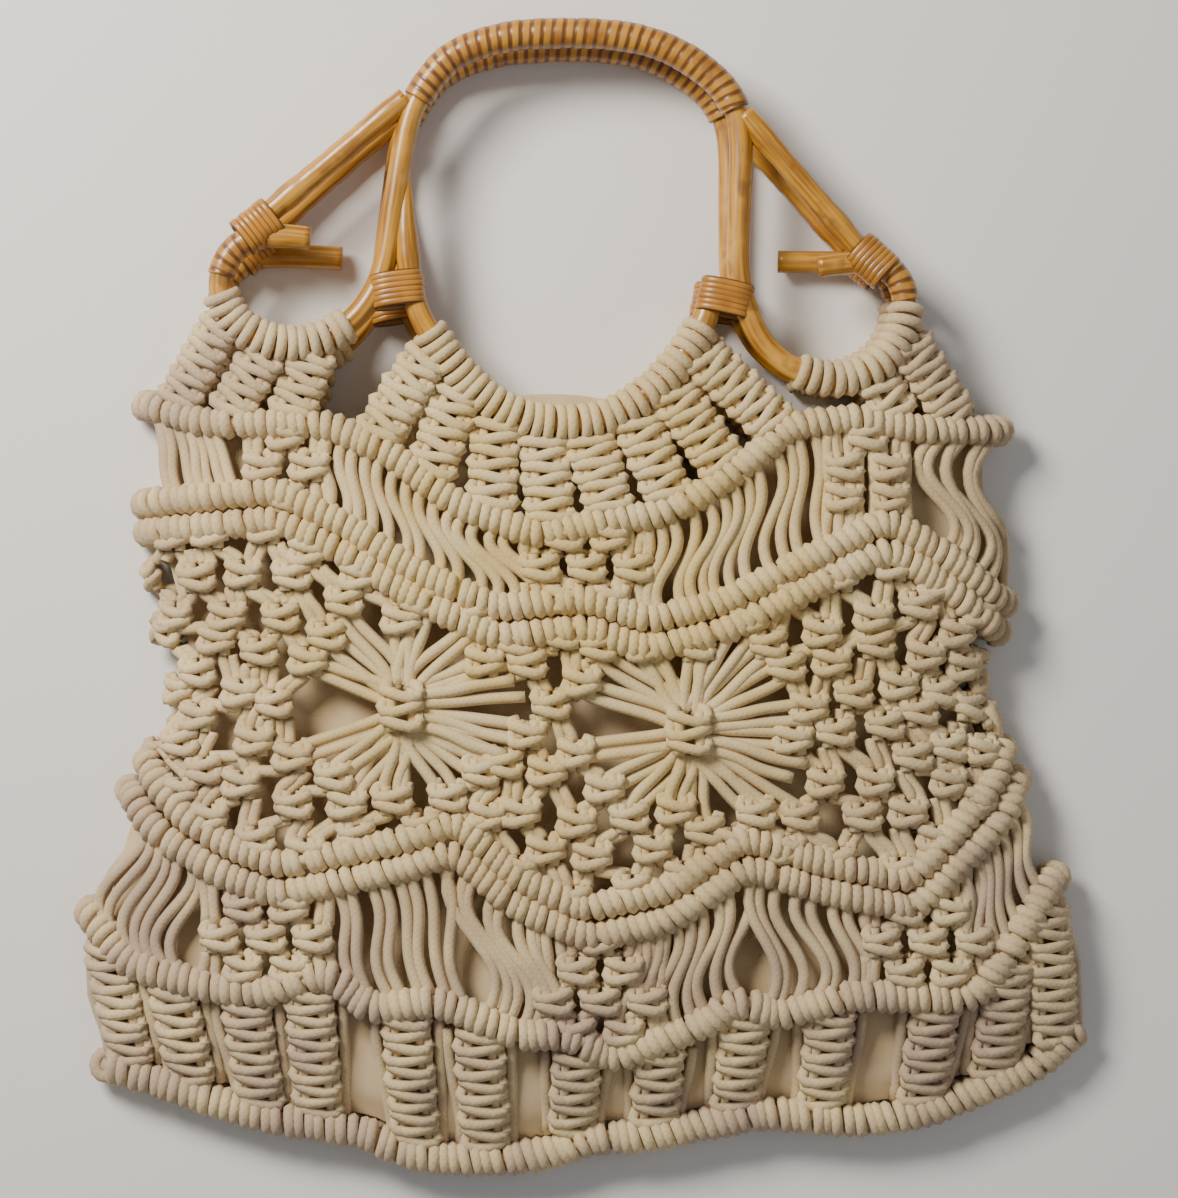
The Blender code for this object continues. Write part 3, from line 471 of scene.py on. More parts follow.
def sway_cords(starts, ends, sway, face, lift, points=12, upright=1.0):
    """Free cords over the pouch: they leave and reach their knots upright, and sway between in an S.

    The place across eases from start to end by 3s^2 - 2s^3, plus a sway of sin(2 pi s) of the length.
    """
    run = np.linspace(0.0, 1.0, points)
    ease = run + upright * (run * run * (3.0 - 2.0 * run) - run)
    length = np.linalg.norm(ends - starts, axis=-1)
    wave = 0.5 * (sway * length)[:, None] * np.sin(2 * math.pi * run)
    x = starts[:, :1] + (ends - starts)[:, :1] * ease + wave
    y = starts[:, 1:] + (ends - starts)[:, 1:] * run
    lifts = lift + 0.0012 * rng.uniform(-1.0, 1.0, (len(starts), 1)) * np.sin(math.pi * run)
    paths = drape(np.stack([x, y], axis=-1), FACES[face], lifts)
    return tube_arrays(paths, np.array([0.0, 0.0, FACES[face]]), 0.5 * CORD * jitter((len(starts), 1), 0.05))


def pouch_frame(plan, face):
    """Over plan places: the point, and the directions beside, up and outwards."""
    points = drape(plan, FACES[face], np.zeros(len(plan)))
    above = drape(plan + np.array([0.0, 0.002]), FACES[face], np.zeros(len(plan)))
    across = drape(plan + np.array([0.002, 0.0]), FACES[face], np.zeros(len(plan)))
    along = unit(above - points)
    out = unit(np.cross(across - points, along)) * FACES[face]
    return points, np.cross(along, out), along, out


def square_knots(plan, face):
    """Square knots at plan places: two half knots that mirror each other, over two core cords."""
    points, beside, along, out = pouch_frame(plan, face)
    points = points + out * 0.0006
    wide = KNOT_WIDTH * jitter(len(plan), 0.05)
    turned = np.where(rng.random(len(plan)) < 0.5, 1.0, -1.0)
    shift = along * 0.5 * BAR_PITCH
    parts = [half_knots(points + shift, beside, along, out, wide, BAR_PITCH, KNOT_DEPTH, turned),
             half_knots(points - shift, beside, along, out, wide, BAR_PITCH, KNOT_DEPTH, -turned),
             cores(points + 2.4 * shift, points - 2.4 * shift, out, 0.0028)]
    return parts


def linked(upper, lower, face):
    """Pairs of cords from the knots above to the knots below."""
    gap = np.array([0.0, 1.15 * BAR_PITCH])
    side = np.sign(lower[:, :1] - upper[:, :1] + 1e-9)
    pairs = []
    for near in (0.0016, 0.0052):
        start = upper - gap + np.concatenate([side * near, np.zeros_like(side)], axis=1)
        end = lower + gap - np.concatenate([side * (0.0068 - near), np.zeros_like(side)], axis=1)
        pairs.append((start, end))
    starts, ends = (np.concatenate([pair[k] for pair in pairs]) for k in range(2))
    return sway_cords(starts, ends, 0.06 * rng.uniform(-1.0, 1.0, len(starts)), face, -0.0006, 8)


def on_row(name, across, share):
    """Plan places on a row, a share of its width below its middle."""
    table, width = ROWS[name]
    return plan_at(across, soften(table, across) + share * width / BODY_LENGTH)


def row_height(name, plan_x, side):
    """How high in the bag's plane a row's edge lies at a place across: side 1 its top, -1 its foot."""
    table, width = ROWS[name]
    down = np.full(np.shape(plan_x), 0.5)
    for _ in range(3):
        left, right = side_edges(down)
        across = np.clip((plan_x - 0.5 * (left + right)) / (0.5 * (right - left)), -1.0, 1.0)
        down = soften(table, across)
    return -BODY_LENGTH * down + side * 0.3 * width


def knot_field(knots, links, face, rows):
    """Square knots joined by pairs of cords, and their spare cords run up and down to two rows."""
    parts = square_knots(knots, face)
    links = np.array(links)
    upper, lower = links[:, 0], links[:, 1]
    parts.append(linked(knots[upper], knots[lower], face))
    side = np.where(knots[lower, 0] > knots[upper, 0], 1, 0)
    joined = np.zeros((2, 2, len(knots)), bool)
    joined[0, side, upper] = True
    joined[1, 1 - side, lower] = True
    for foot, row, turn in ((0, rows[1], -1.0), (1, rows[0], 1.0)):
        for right in (0, 1):
            spare = knots[~joined[foot, right]]
            outward = 2.0 * right - 1.0
            for near in (0.0018, 0.0056):
                start = spare + np.array([outward * near, turn * 1.15 * BAR_PITCH])
                end_x = spare[:, 0] + outward * (near + 0.0022 * rng.random(len(spare)))
                end = np.stack([end_x, row_height(row, end_x, turn * -0.5)], axis=-1)
                sway = 0.05 * rng.uniform(-1.0, 1.0, len(spare))
                parts.append(sway_cords(start, end, sway, face, -0.0004, 8))
    return parts


def band_knots():
    """The middle band's knots, in alternating rows, and the links from each to those below it."""
    index, knots, links = {}, [], []
    for row in range(BAND_ROWS):
        for column in range(BAND_COLUMNS + row % 2):
            across = -1.0 + (column + 0.5 * (1 - row % 2)) * 2.0 / BAND_COLUMNS
            share = (row + 0.62) / (BAND_ROWS + 0.24)
            down = soften(SHOULDER_ROW, across) * (1.0 - share) + soften(HEM_ROW, across) * share
            index[row, column] = len(knots)
            knots.append(plan_at(across, down) + 0.0015 * rng.normal(size=2))
    for (row, column), number in index.items():
        for step in (0, 1):
            below = index.get((row + 1, column + step - row % 2))
            if below is not None:
                links.append((number, below))
    return index, np.array(knots), np.array(links)


def band_field(face):
    """The middle band: alternating square knots, left open round each spider."""
    index, knots, links = band_knots()
    upper, lower = links[:, 0], links[:, 1]
    parts, open_places = [], []
    for across, down, reach in SPIDERS:
        middle = plan_at(across, down)
        away = (knots - middle) / (reach, SPIDER_FLATNESS * reach)
        inside = np.hypot(away[:, 0], away[:, 1]) <= 1.0
        open_places.append(inside)
        cut = inside[upper] != inside[lower]
        outside = knots[np.where(inside[upper], lower, upper)[cut]]
        aim = middle + (outside - middle) * np.array([0.10, 0.22])
        for aside in (-0.0022, 0.0022):
            beside = unit(outside - middle)[:, ::-1] * np.array([-1.0, 1.0]) * aside
            bend = 0.10 * rng.uniform(-1.0, 1.0, len(outside))
            parts.append(sway_cords(outside + beside * 1.2, aim + beside, bend, face, -0.0002, 12, 0.45))
        reach_up = np.array([0.0, COLLECTING_REACH])
        parts += draped_sennit(middle + reach_up, middle - reach_up, face, *COLLECTING_SIZES)
        tails = (middle + TAIL_STARTS, middle + TAIL_ENDS, np.full(len(TAIL_ENDS), 0.12))
        parts.append(sway_cords(*tails, face, 0.0016, 14, 0.0))
    kept = ~np.any(open_places, axis=0)
    whole = kept[upper] & kept[lower]
    parts += square_knots(knots[kept], face)
    parts.append(linked(knots[upper[whole]], knots[lower[whole]], face))
    for row, turn, rank in (("shoulder", 1.0, 0), ("hem", -1.0, BAND_ROWS - 1)):
        edge = np.array([knots[number] for (line, _), number in index.items()
                         if line == rank and kept[number]])
        for outward in (-0.0060, -0.0022, 0.0022, 0.0060):
            start = edge + np.array([outward * 0.8, turn * 1.15 * BAR_PITCH])
            end_x = edge[:, 0] + outward
            end = np.stack([end_x, row_height(row, end_x, -turn * 0.5)], axis=-1)
            parts.append(sway_cords(start, end, np.zeros(len(edge)), face, -0.0004, 6))
    return parts


def draped_sennit(start, end, face, width, lift):
    """A sennit of half knots laid lift over the pouch between two plan places, with its cores."""
    places, pitch, turned = bars_along(start, end)
    points, beside, along, out = pouch_frame(places, face)
    wide = width * jitter(len(places), 0.04)
    parts = [half_knots(points + out * lift, beside, along, out, wide, pitch, KNOT_DEPTH, turned)]
    across = unit(np.array([end[1] - start[1], start[0] - end[0]]))
    for aside in (-0.26 * width, 0.26 * width):
        ends = np.array([start, end])[:, None] + across * aside
        parts.append(sway_cords(ends[0], ends[1], np.zeros(1), face, lift, 8, 0.0))
    return parts


def small_fields(face):
    """The small diamonds of square knots in the upper and lower bands."""
    parts = []
    for across, down, counts in DIAMONDS:
        middle = plan_at(across, down)
        rows = ("rim", "shoulder") if down < 0.4 else ("hem", "skirt")
        knots, ranks = [], []
        for rank, count in enumerate(counts):
            for place in range(count):
                knots.append(middle + np.array([FIELD_PITCH[0] * (place - 0.5 * (count - 1)),
                                                FIELD_PITCH[1] * (0.5 * (len(counts) - 1) - rank)]))
                ranks.append(rank)
        knots, ranks = np.array(knots), np.array(ranks)
        apart = np.abs(np.abs(knots[:, None, 0] - knots[None, :, 0]) - 0.5 * FIELD_PITCH[0]) < 0.001
        links = np.argwhere(apart & (ranks[None, :] == ranks[:, None] + 1))
        parts += knot_field(knots, links, face, rows)
    return parts


def loose_cords(face):
    """The free cords between rows, group by group."""
    parts = []
    for upper, lower, top_from, top_to, foot_from, foot_to, count, sway in FREE_CORDS:
        share = (np.arange(count) + 0.25 * rng.uniform(-1.0, 1.0, count)) / (count - 1)
        top = top_from + (top_to - top_from) * share
        foot = foot_from + (foot_to - foot_from) * share
        sways = sway * jitter(count, 0.35)
        parts.append(sway_cords(on_row(upper, top, 0.25), on_row(lower, foot, -0.25), sways, face, 0.0, 14))
    return parts


def base_band(face):
    """The sennits between the skirt row and the base row, with a cord at each side."""
    parts = []
    for top, foot in BASE_SENNITS:
        start, end = on_row("skirt", top, 0.35), on_row("base", foot, -0.35)
        parts += draped_sennit(start, end, face, BASE_SENNIT_WIDTH, 0.0004)
        for aside in (-0.0095, 0.0095):
            shift = np.array([[aside, 0.0]])
            parts.append(sway_cords(start + shift * 1.25, end + shift, np.zeros(1), face, -0.0016, 8))
    return parts


def frame_place(side, points):
    """Points of a frame's tables as places in the bag's plane. The back frame lies askew."""
    places = np.atleast_2d(np.array(points, float)) * (FRAME_HALF_SPAN, FRAME_HEIGHT)
    if side == "back":
        turn = math.radians(BACK_TURN_DEGREES)
        spin = np.array(((math.cos(turn), math.sin(turn)), (-math.sin(turn), math.cos(turn))))
        places = places @ spin - (0.0, BACK_SLIP_DOWN)
    return places + (FRAME_SIDE_OFFSET, -MOUTH_DROP)


def at_level(side, plan):
    """Plan places lifted to a frame's level."""
    return np.concatenate([plan, np.full((len(plan), 1), FRAME_LEVEL[side])], axis=-1)


def cane_route(side, kind):
    """The centre line of a cane: grip, mouth, left or right strut."""
    points = {"grip": (LEFT_STUB_END[side],) + GRIP_CANE + (RIGHT_STUB_END[side],), "mouth": MOUTH_CANE,
              "left": STRUTS["left"], "right": STRUTS["right"]}[kind]
    plan = frame_place(side, points)
    return at_level(side, (smooth_route if len(plan) > 2 else even_points)(plan, 0.0020))


def span_of(side, route, ends):
    """The run of a route between the points nearest to two places of the frame's tables."""
    marks = [np.argmin(np.linalg.norm(route[:, :2] - spot, axis=1)) for spot in frame_place(side, ends)]
    return route[marks[0]:marks[1] + 1]


def sleeve_route(side, name):
    """The run of a cane that a sleeve of hitches covers."""
    kind, start, end = HITCHES[name]
    return span_of(side, cane_route(side, kind), (start, end))


def cane_tube(route, nodes, taper=0.0):
    """A cane: a round rod with a slight swelling at each node, pared down over its first taper share."""
    run = np.linspace(0.0, 1.0, len(route))
    pared = np.clip(0.45 + 0.55 * run / taper, 0.0, 1.0) if taper else 1.0
    swell = sum(np.exp(-((run - node) * len(route) / 2.2) ** 2) for node in nodes)
    waver = 0.02 * np.sin(run * 31.0) + 0.015 * np.sin(run * 67.0 + 1.0)
    return tube_arrays(route[None], UP, (CANE_RADIUS * pared * (1.0 + 0.13 * swell + waver))[None], 16)


def wound_cane(route, outer):
    """A close wrap of strip on a cane: a tube whose radius dips in a groove along a helix."""
    route = even_points(route, 0.0006)
    sides = 28
    run = np.concatenate([[0.0], np.cumsum(np.linalg.norm(np.diff(route, axis=0), axis=1))])
    phase = run[:, None] / CLOSE_PITCH + np.arange(sides) / sides
    ridge = np.abs(np.sin(math.pi * phase))
    swell = 1.0 + 0.02 * np.sin(0.9 * np.floor(phase) ** 2)
    radius = outer * swell * (1.0 - 0.07 * (1.0 - ridge) ** 4)
    vertices, quads, uv = tube_arrays(route[None], UP, radius[None], sides)
    uv[..., 1] = uv[..., 0] / CLOSE_PITCH + uv[..., 1]
    return vertices, quads, uv


def wound_binding(side, name):
    """A binding: turns of cane strip, each a rounded loop about the canes."""
    centre, turn, half_width, half_length = BINDINGS[name]
    turn = math.radians(turn) + (math.radians(BACK_TURN_DEGREES) if side == "back" else 0.0)
    along = np.array([-math.sin(turn), math.cos(turn), 0.0])
    beside = np.array([math.cos(turn), math.sin(turn), 0.0])
    middle = at_level(side, frame_place(side, centre))[0]
    turns = round(2.0 * half_length / TURN_PITCH) + 1
    angle = np.linspace(0.0, 2 * math.pi, 40, endpoint=False)
    wide = np.sign(np.cos(angle)) * np.abs(np.cos(angle)) ** 0.75
    high = np.sign(np.sin(angle)) * np.abs(np.sin(angle)) ** 0.75
    offsets = np.linspace(-1.0, 1.0, turns) * (half_length - 0.5 * TURN_PITCH)
    swell = jitter((turns, 1, 1), 0.03)
    paths = (middle + along * (offsets[:, None, None] + 0.0006 * np.sin(angle)[None, :, None])
             + swell * (beside * wide[None, :, None] * (half_width - 0.0012)
                        + UP * high[None, :, None] * (CANE_RADIUS + 0.0011)))
    angles = 2 * math.pi * np.arange(10) / 10
    thick, broad = STRIP_HALF_SIZES
    section = thick * broad / np.hypot(broad * np.cos(angles), thick * np.sin(angles))
    section = np.broadcast_to(section, (turns, len(angle), 10))
    vertices, quads, uv = tube_arrays(paths, along, section, 10, closed=True)
    uv[..., 1] = 2.0 * uv[..., 1] + 0.5
    return vertices, quads, uv


def hitches(side, name):
    """Half hitches side by side round a cane, each a ring of cord that leans a little."""
    sleeve = even_points(sleeve_route(side, name), HITCH_PITCH)
    along = unit(np.gradient(sleeve, axis=0))
    beside = np.cross(UP, along)
    angle = np.linspace(0.0, 2 * math.pi, 14, endpoint=False)[None, :, None]
    lean = 0.0010 * jitter((len(sleeve), 1, 1), 0.5)
    radius = HITCH_RADIUS * jitter((len(sleeve), 1, 1), 0.04)
    paths = (sleeve[:, None] + radius * (beside[:, None] * np.cos(angle) + UP * np.sin(angle))
             + along[:, None] * lean * np.sin(angle))
    return tube_arrays(paths, along[:, None], HITCH_CORD_RADIUS, closed=True)


def mouth_sennits(side):
    """The sennits that hang from the hitched canes to the rim row."""
    starts, ends, outs, parts = [], [], [], []
    face = FACES[side]
    for sleeve, share, across in SENNITS:
        route = sleeve_route(side, sleeve)
        spot = route[int(share * (len(route) - 1))]
        end = drape(on_row("rim", across, -0.25)[None], face, np.zeros(1))[0]
        direction = unit((end - spot) * (1.0, 1.0, 0.0))
        starts.append(spot + direction * 0.0060)
        ends.append(end)
        outs.append(unit(np.array([0.0, 0.35, 1.0])) if side == "front" else -UP)
    return bars_between(np.array(starts), np.array(ends), np.array(outs))


def lining_sheet():
    """The lining: a thin pouch inside the net, shut at its foot, with its rim up behind the mouth cane.

    Each level is a closed loop that is drawn inwards from the net, with small soft wrinkles.
    """
    columns, levels = 96, 44
    across = np.sin(np.linspace(-0.5 * math.pi, 0.5 * math.pi, columns))
    rim = soften(RIM_ROW, across)
    peak = np.exp(-((across + 0.05) / 0.26) ** 6)
    top = rim - 0.012 + (-0.012 + 0.30 * (across + 0.05) ** 2 - rim + 0.012) * peak
    foot = soften(BASE_ROW, across) - 0.020
    share = np.linspace(0.0, 1.0, levels)[:, None]
    down = top + (foot - top) * share
    inner = 0.955 * across
    depth = 0.42 + 0.38 * np.clip((down - 0.62) / 0.30, 0.0, 1.0)
    loops = []
    for face in (1.0, -1.0):
        points = pouch(inner, face, down)
        middle = EDGE_HEIGHT + 0.001
        wrinkle = 0.0009 * np.sin(inner * 37.0 + 6.0 * share) * np.sin(share * 9.0 + inner * 5.0)
        drawn = np.where(face > 0, middle + (points[..., 2] - middle) * depth, points[..., 2] + 0.0035)
        above = np.clip((rim - down) / 0.06, 0.0, 1.0)
        mouth = 0.0170 + 0.0012 * face
        held = np.minimum(drawn, mouth) if face > 0 else np.maximum(drawn, mouth)
        drawn = drawn + (held - drawn) * above + wrinkle * (1.0 - above)
        if face < 0:
            drawn = np.maximum(drawn, 0.0052)
        drawn[-1] = EDGE_HEIGHT
        points[..., 2] = drawn
        loops.append(points)
    front, back = loops[0], loops[1][:, ::-1]
    loop = np.concatenate([front, back[:, 1:-1]], axis=1)
    loop[:, 0, 2] = loop[:, 0, 2] * 0.5 + loops[1][:, 0, 2] * 0.5
    count = loop.shape[1]
    level, place = np.meshgrid(np.arange(levels - 1), np.arange(count), indexing="ij")
    beside = (place + 1) % count
    quads = np.stack([level * count + place, (level + 1) * count + place, (level + 1) * count + beside,
                      level * count + beside], axis=-1).reshape(-1, 4)
    seam = (levels - 1) * count
    mirrored = (count - np.arange(columns)) % count
    seams = np.array([(seam + k, seam + mirrored[k], seam + mirrored[k + 1], seam + k + 1)
                      for k in range(1, columns - 2)])
    quads = np.concatenate([quads, seams])
    vertices = loop.reshape(-1, 3)
    uv = vertices[quads][..., :2]
    return vertices, quads, uv


class Nodes:
    """Short ways to add and join the nodes of one tree. Inputs go by name, or as n and a number."""

    def __init__(self, tree):
        self.tree = tree
        self.tree.nodes.clear()

    def fill(self, node, **inputs):
        """Values or sockets for a node's inputs."""
        for key, value in inputs.items():
            key = key.replace("_", " ")
            numbered = key[0] == "n" and key[1:].isdigit()
            socket = node.inputs[int(key[1:]) if numbered else key]
            if isinstance(value, bpy.types.NodeSocket):
                self.tree.links.new(value, socket)
            else:
                socket.default_value = value

    def add(self, kind, settings=(), **inputs):
        """A node of a kind with its settings and inputs."""
        node = self.tree.nodes.new(kind if kind.startswith("NodeGroup") else "ShaderNode" + kind)
        for key, value in dict(settings).items():
            setattr(node, key, value)
        self.fill(node, **inputs)
        return node

    def math(self, operation, first, second=0.0, clamp=False):
        """A math node's value."""
        settings = {"operation": operation, "use_clamp": clamp}
        return self.add("Math", settings, n0=first, n1=second).outputs[0]

    def scaled(self, vector, factors):
        """A vector times three factors."""
        return self.add("VectorMath", {"operation": "MULTIPLY"}, n0=vector, n1=factors).outputs[0]

    def noise(self, vector, scale, detail=2.0):
        """A noise texture's value from 0 to 1."""
        return self.add("TexNoise", Vector=vector, Scale=scale, Detail=detail).outputs["Fac"]

    def ramp(self, value, low, high):
        """A value's place between low and high, eased and held from 0 to 1."""
        settings = {"interpolation_type": "SMOOTHSTEP"}
        return self.add("MapRange", settings, Value=value, From_Min=low, From_Max=high).outputs["Result"]

    def mix(self, factor, first, second):
        """A colour between two colours."""
        return self.add("Mix", {"data_type": "RGBA"}, n0=factor, n6=first, n7=second).outputs[2]

    def blot(self, colour, mask, strength, other):
        """A colour with a share of another where a mask is up."""
        return self.mix(self.math("MULTIPLY", mask, strength), colour, other)


def braid(nodes):
    """Fine braid of a cord: strands that cross in two slants round it, from its uv.

    Returns how deep each place lies between strands, and the bumped normal.
    """
    parts = nodes.add("SeparateXYZ", Vector=nodes.add("UVMap").outputs[0])
    run = nodes.math("DIVIDE", parts.outputs[0], BRAID_PITCH)
    turn = nodes.math("MULTIPLY", parts.outputs[1], 4.0)
    left = nodes.math("PINGPONG", nodes.math("ADD", run, turn), 0.5)
    right = nodes.math("PINGPONG", nodes.math("SUBTRACT", run, turn), 0.5)
    strand = nodes.math("MULTIPLY", nodes.math("MAXIMUM", left, right), 2.0)
    fuzz = nodes.noise(nodes.add("TexCoord").outputs["Object"], 2600.0, 3.0)
    height = nodes.math("ADD", strand, nodes.math("MULTIPLY", fuzz, 0.9))
    bump = nodes.add("Bump", Strength=0.55, Distance=BRAID_RELIEF, Height=height)
    return nodes.math("SUBTRACT", 1.0, strand, clamp=True), bump.outputs[0]


def new_material(name, roughness, **settings):
    """A material with one Principled shader, its nodes' helper and the shader."""
    material = bpy.data.materials.new(name)
    material.use_nodes = True
    nodes = Nodes(material.node_tree)
    shader = nodes.add("BsdfPrincipled", Roughness=roughness, **settings)
    nodes.add("OutputMaterial", Surface=shader.outputs[0])
    return material, nodes, shader


def cotton_material(tone):
    """Ecru cotton cord with painted light: yellower in the bag's middle and greyer at its edges, a painted
    warm pool of light; pale random patches painted as highlights; and darker between strands, painted shade.
    """
    material, nodes, shader = new_material("Ecru cotton cord", 0.92, Sheen_Weight=0.12,
                                           Sheen_Roughness=0.6, Specular_IOR_Level=0.18)
    painted_strand_shade, normal = braid(nodes)
    coordinates = nodes.add("TexCoord").outputs["Object"]
    flat = nodes.scaled(coordinates, (1.0, 1.25, 0.0))
    away = nodes.add("VectorMath", {"operation": "LENGTH"}, n0=flat).outputs["Value"]
    # Painted light: yellower in the bag's middle and greyer towards its edges, a painted warm pool of light
    edge = nodes.ramp(away, 0.06, 0.21)
    patch = nodes.noise(coordinates, 34.0, 2.0)
    painted_light_tint = nodes.mix(edge, tone[0], tone[1])
    # Painted highlights: pale patches at random places
    painted_highlight_mix = nodes.mix(nodes.ramp(patch, 0.35, 0.70), painted_light_tint, tone[2])
    fine = nodes.noise(coordinates, 420.0, 3.0)
    speckled = nodes.blot(painted_highlight_mix, nodes.ramp(fine, 0.45, 0.75), 0.16, tone[3])
    # Painted shade: darker between the braid's strands
    shaded = nodes.blot(speckled, painted_strand_shade, 0.22, tone[3])
    nodes.fill(shader, Base_Color=shaded, Normal=normal)
    return material


def cane_material():
    """Varnished honey cane: long fibres, cloudy darker patches and a thin coat."""
    material, nodes, shader = new_material("Varnished cane", 0.36, Coat_Weight=0.35, Coat_Roughness=0.16)
    place = nodes.add("UVMap").outputs[0]
    coordinates = nodes.add("TexCoord").outputs["Object"]
    fibre = nodes.noise(nodes.scaled(place, (26.0, 15.0, 1.0)), 1.0, 4.0)
    patch = nodes.noise(coordinates, 46.0, 3.0)
    colour = nodes.mix(nodes.ramp(fibre, 0.36, 0.66), (0.29, 0.11, 0.009, 1.0), (0.58, 0.28, 0.024, 1.0))
    colour = nodes.mix(nodes.ramp(patch, 0.45, 0.75), colour, (0.66, 0.34, 0.055, 1.0))
    dark = nodes.noise(coordinates, 90.0, 2.0)
    colour = nodes.blot(colour, nodes.ramp(dark, 0.60, 0.72), 0.55, (0.13, 0.045, 0.008, 1.0))
    bump = nodes.add("Bump", Strength=0.35, Distance=0.0002, Height=fibre)
    nodes.fill(shader, Base_Color=colour, Normal=bump.outputs[0])
    return material


def strip_material(name, light, painted_groove_shade):
    """Split-cane strip: honey on its face and dark brown where two turns meet, painted shade in the groove
    between them.
    """
    material, nodes, shader = new_material(name, 0.38, Coat_Weight=0.30, Coat_Roughness=0.20)
    place = nodes.add("UVMap").outputs[0]
    parts = nodes.add("SeparateXYZ", Vector=place)
    ridge = nodes.math("SINE", nodes.math("MULTIPLY", parts.outputs[1], math.pi))
    ridge = nodes.math("ABSOLUTE", ridge)
    coordinates = nodes.add("TexCoord").outputs["Object"]
    patch = nodes.noise(coordinates, 120.0, 3.0)
    face = nodes.mix(nodes.ramp(patch, 0.35, 0.70), light, (0.33, 0.13, 0.014, 1.0))
    uneven = nodes.math("ADD", ridge, nodes.math("MULTIPLY", patch, 0.25))
    # Painted shade: dark in the groove where two turns meet
    colour = nodes.mix(nodes.ramp(uneven, 0.50, 0.95), painted_groove_shade, face)
    fibre = nodes.noise(nodes.scaled(place, (90.0, 14.0, 1.0)), 1.0, 3.0)
    bump = nodes.add("Bump", Strength=0.3, Distance=0.0002, Height=fibre)
    nodes.fill(shader, Base_Color=colour, Normal=bump.outputs[0])
    return material


def lining_material():
    """Plain-woven tan cotton cloth: two sets of threads over and under, with faint unevenness."""
    material, nodes, shader = new_material("Lining cloth", 0.94, Specular_IOR_Level=0.15)
    coordinates = nodes.add("TexCoord").outputs["Object"]
    parts = nodes.add("SeparateXYZ", Vector=coordinates)
    thread_pitch = 0.0012
    waves = [nodes.math("SINE", nodes.math("MULTIPLY", parts.outputs[k], 2.0 * math.pi / thread_pitch))
             for k in (0, 1)]
    weave = nodes.math("MULTIPLY", waves[0], waves[1])
    patch = nodes.noise(coordinates, 60.0, 3.0)
    colour = nodes.mix(nodes.ramp(patch, 0.3, 0.7), (0.60, 0.44, 0.25, 1.0), (0.70, 0.55, 0.34, 1.0))
    colour = nodes.blot(colour, nodes.ramp(weave, -1.0, 1.0), 0.25, (0.42, 0.29, 0.15, 1.0))
    bump = nodes.add("Bump", Strength=0.4, Distance=0.00015, Height=weave)
    nodes.fill(shader, Base_Color=colour, Normal=bump.outputs[0])
    return material


# Cotton: yellow, grey, pale and dark tones. The yellow and grey are painted warm light in the middle and
# painted cooler light at the edges, the pale tone is painted highlight patches, and the dark tone is fibre
# speckle and painted shade between strands
ECRU = (
    (0.68, 0.51, 0.215, 1.0), (0.50, 0.37, 0.255, 1.0), (0.74, 0.585, 0.325, 1.0), (0.26, 0.165, 0.075, 1.0),
)
cotton = cotton_material(ECRU)
cane = cane_material()
# Each strip's second colour is painted shade in the grooves between turns
binding_strip = strip_material("Binding strip", (0.48, 0.20, 0.022, 1.0), (0.050, 0.016, 0.004, 1.0))
wrap_strip = strip_material("Wrapping strip", (0.56, 0.27, 0.032, 1.0), (0.16, 0.056, 0.008, 1.0))


def cord_piece(name, parts, *nodes):
    """A piece of cotton cord."""
    add_mesh(name, parts, cotton, nodes)


def cane_piece(name, tube, *nodes):
    """A piece of bare cane."""
    add_mesh(name, [tube], cane, nodes)


def strip_piece(name, winding, material, *nodes):
    """A piece wound from split-cane strip."""
    add_mesh(name, [winding], material, nodes)


# Cording rows: lines down the row, and the arcs' half width, height, lift and slant
ROW_WRAPS = (
    ("rim", (0.0,), 0.0037, 0.0040, 0.0002, 0.0008),
    ("shoulder", (-0.0054, 0.0054), 0.0036, 0.0041, 0.0003, 0.0008),
    ("hem", (-0.0054, 0.0054), 0.0036, 0.0041, 0.0003, 0.0008),
    ("skirt", (0.0,), 0.0043, 0.0043, 0.0003, 0.0008),
    ("base", (0.0,), 0.0045, 0.0042, 0.0, 0.0010),
)
for name, *arcs in ROW_WRAPS:
    cord_piece(name + "_row_wraps", row_wraps(name, *arcs), name + "_row")

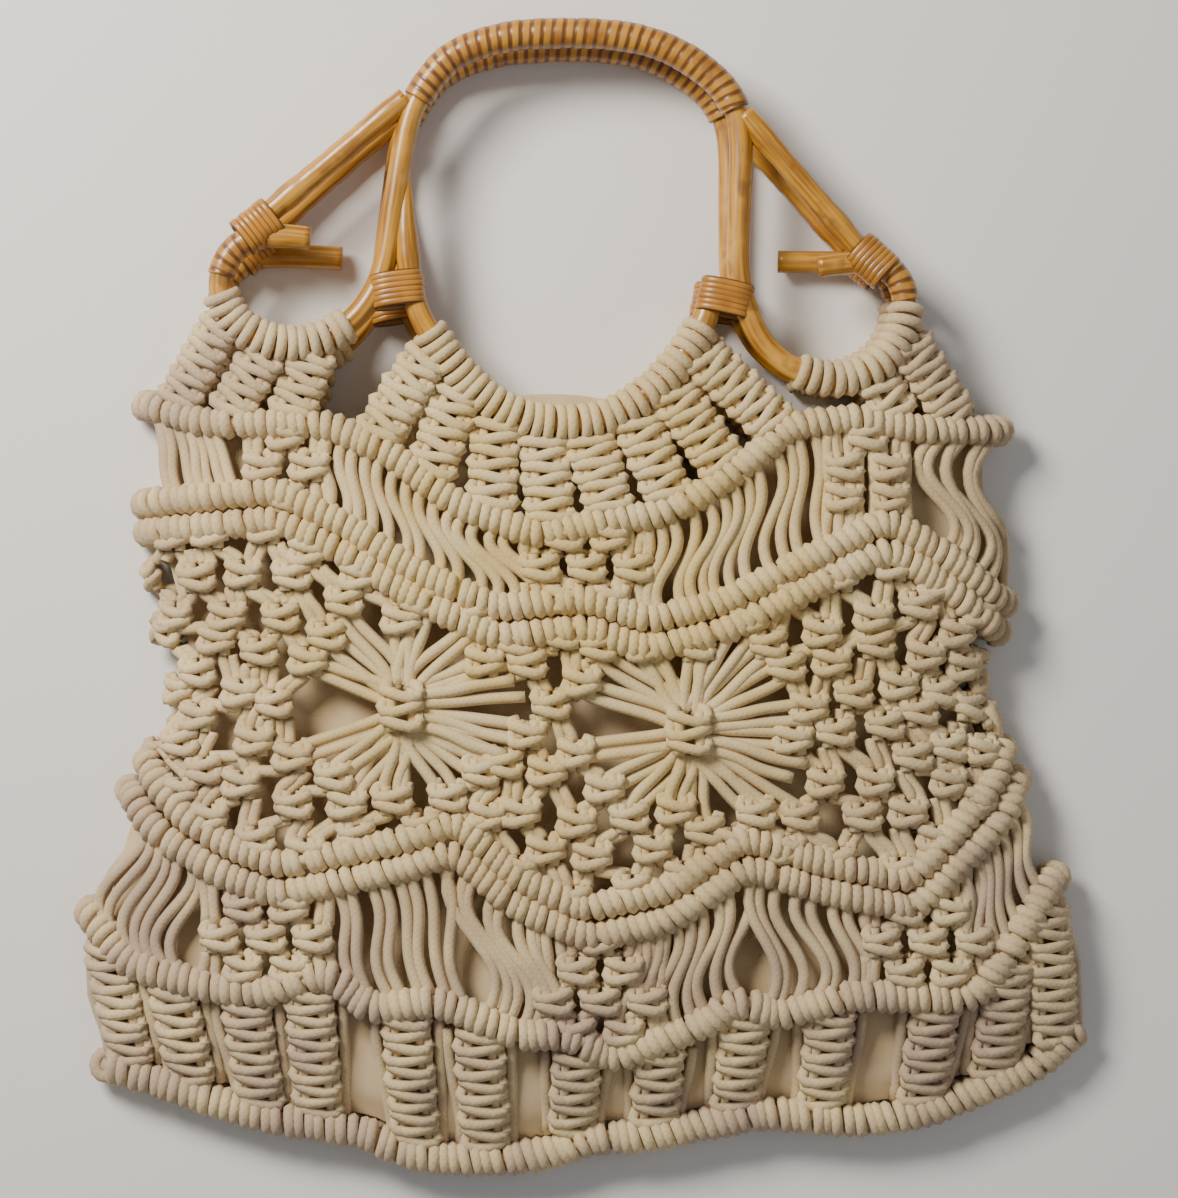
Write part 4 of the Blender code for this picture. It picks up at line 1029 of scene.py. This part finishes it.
for side in ("front", "back"):
    cord_piece(side + "_upper_band_knots", small_fields(side), "yoke_net")
    cord_piece(side + "_loose_cords", loose_cords(side), "yoke_net", "lower_net")
    cord_piece(side + "_middle_band_knots", band_field(side), "middle_net")
    cord_piece(side + "_base_band_sennits", base_band(side), "base_net")
    cord_piece(side + "_mouth_sennits", mouth_sennits(side))
    for name in HITCHES:
        place = side + "_" + name
        cord_piece(place + "_hitched_cord", [hitches(side, name)], place + "_hitches")
    grip = cane_route(side, "grip")
    cane_piece(side + "_grip_cane_rod", cane_tube(grip, (0.06, 0.13, 0.88, 0.95)), side + "_grip_cane")
    mouth = cane_tube(cane_route(side, "mouth"), (0.14, 0.93), 0.10)
    cane_piece(side + "_mouth_cane_rod", mouth, side + "_mouth_cane")
    for name in STRUTS:
        place = side + "_" + name + "_strut"
        cane_piece(place + "_rod", cane_tube(cane_route(side, name), (0.15, 0.80)), place)
    arch = wound_cane(span_of(side, grip, ARCH_WRAP), ARCH_RADIUS)
    strip_piece(side + "_arch_wrap", arch, wrap_strip, side + "_arch_binding")
    for name, ends in RING_WRAPS.items():
        wrap = wound_cane(span_of(side, grip, ends), RING_WRAP_RADIUS)
        strip_piece(side + "_" + name + "_cane_wrap", wrap, wrap_strip)
    for name in BINDINGS:
        place = side + "_" + name
        strip_piece(place + "_winding", wound_binding(side, name), binding_strip, place + "_binding")

lining = add_mesh("lining_cloth_pouch", [lining_sheet()], lining_material(), ("lining",))


def add_floor():
    """A plain pale floor."""
    bpy.ops.mesh.primitive_plane_add(size=6.0, location=(0.0, 0.0, 0.0))
    floor = bpy.context.object
    floor.name = "floor"
    material, nodes, shader = new_material("Pale floor", 0.85, Specular_IOR_Level=0.2)
    coordinates = nodes.add("TexCoord").outputs["Object"]
    colour = nodes.mix(nodes.noise(coordinates, 1.3, 2.0), (0.80, 0.78, 0.755, 1.0), (0.84, 0.82, 0.80, 1.0))
    nodes.fill(shader, Base_Color=colour)
    floor.data.materials.append(material)


def add_light(name, place, size, power, colour):
    """A soft square lamp that faces the bag."""
    data = bpy.data.lights.new(name, "AREA")
    data.size = size
    data.energy = power
    data.color = colour
    lamp = bpy.data.objects.new(name, data)
    lamp.location = place
    direction = np.array(place) * -1.0
    lamp.rotation_euler = (math.atan2(math.hypot(direction[0], direction[1]), -direction[2]), 0.0,
                           math.atan2(direction[0], -direction[1]) + math.pi)
    bpy.context.scene.collection.objects.link(lamp)


add_floor()
add_light("key_light", (-0.62, 0.62, 0.80), 0.42, 22.0, (1.0, 0.955, 0.875))
add_light("fill_light", (0.8, -0.3, 1.2), 1.4, 2.6, (0.95, 0.97, 1.0))
world = bpy.data.worlds.new("Pale room")
bpy.context.scene.world = world
world.use_nodes = True
world.node_tree.nodes["Background"].inputs["Color"].default_value = (0.92, 0.94, 0.97, 1.0)
world.node_tree.nodes["Background"].inputs["Strength"].default_value = 0.22

camera_data = bpy.data.cameras.new("camera")
camera_data.lens = 110.0
camera = bpy.data.objects.new("camera", camera_data)
camera.location = (0.0026, 0.0, 1.374)
bpy.context.scene.collection.objects.link(camera)
bpy.context.scene.camera = camera

bpy.context.view_layer.update()
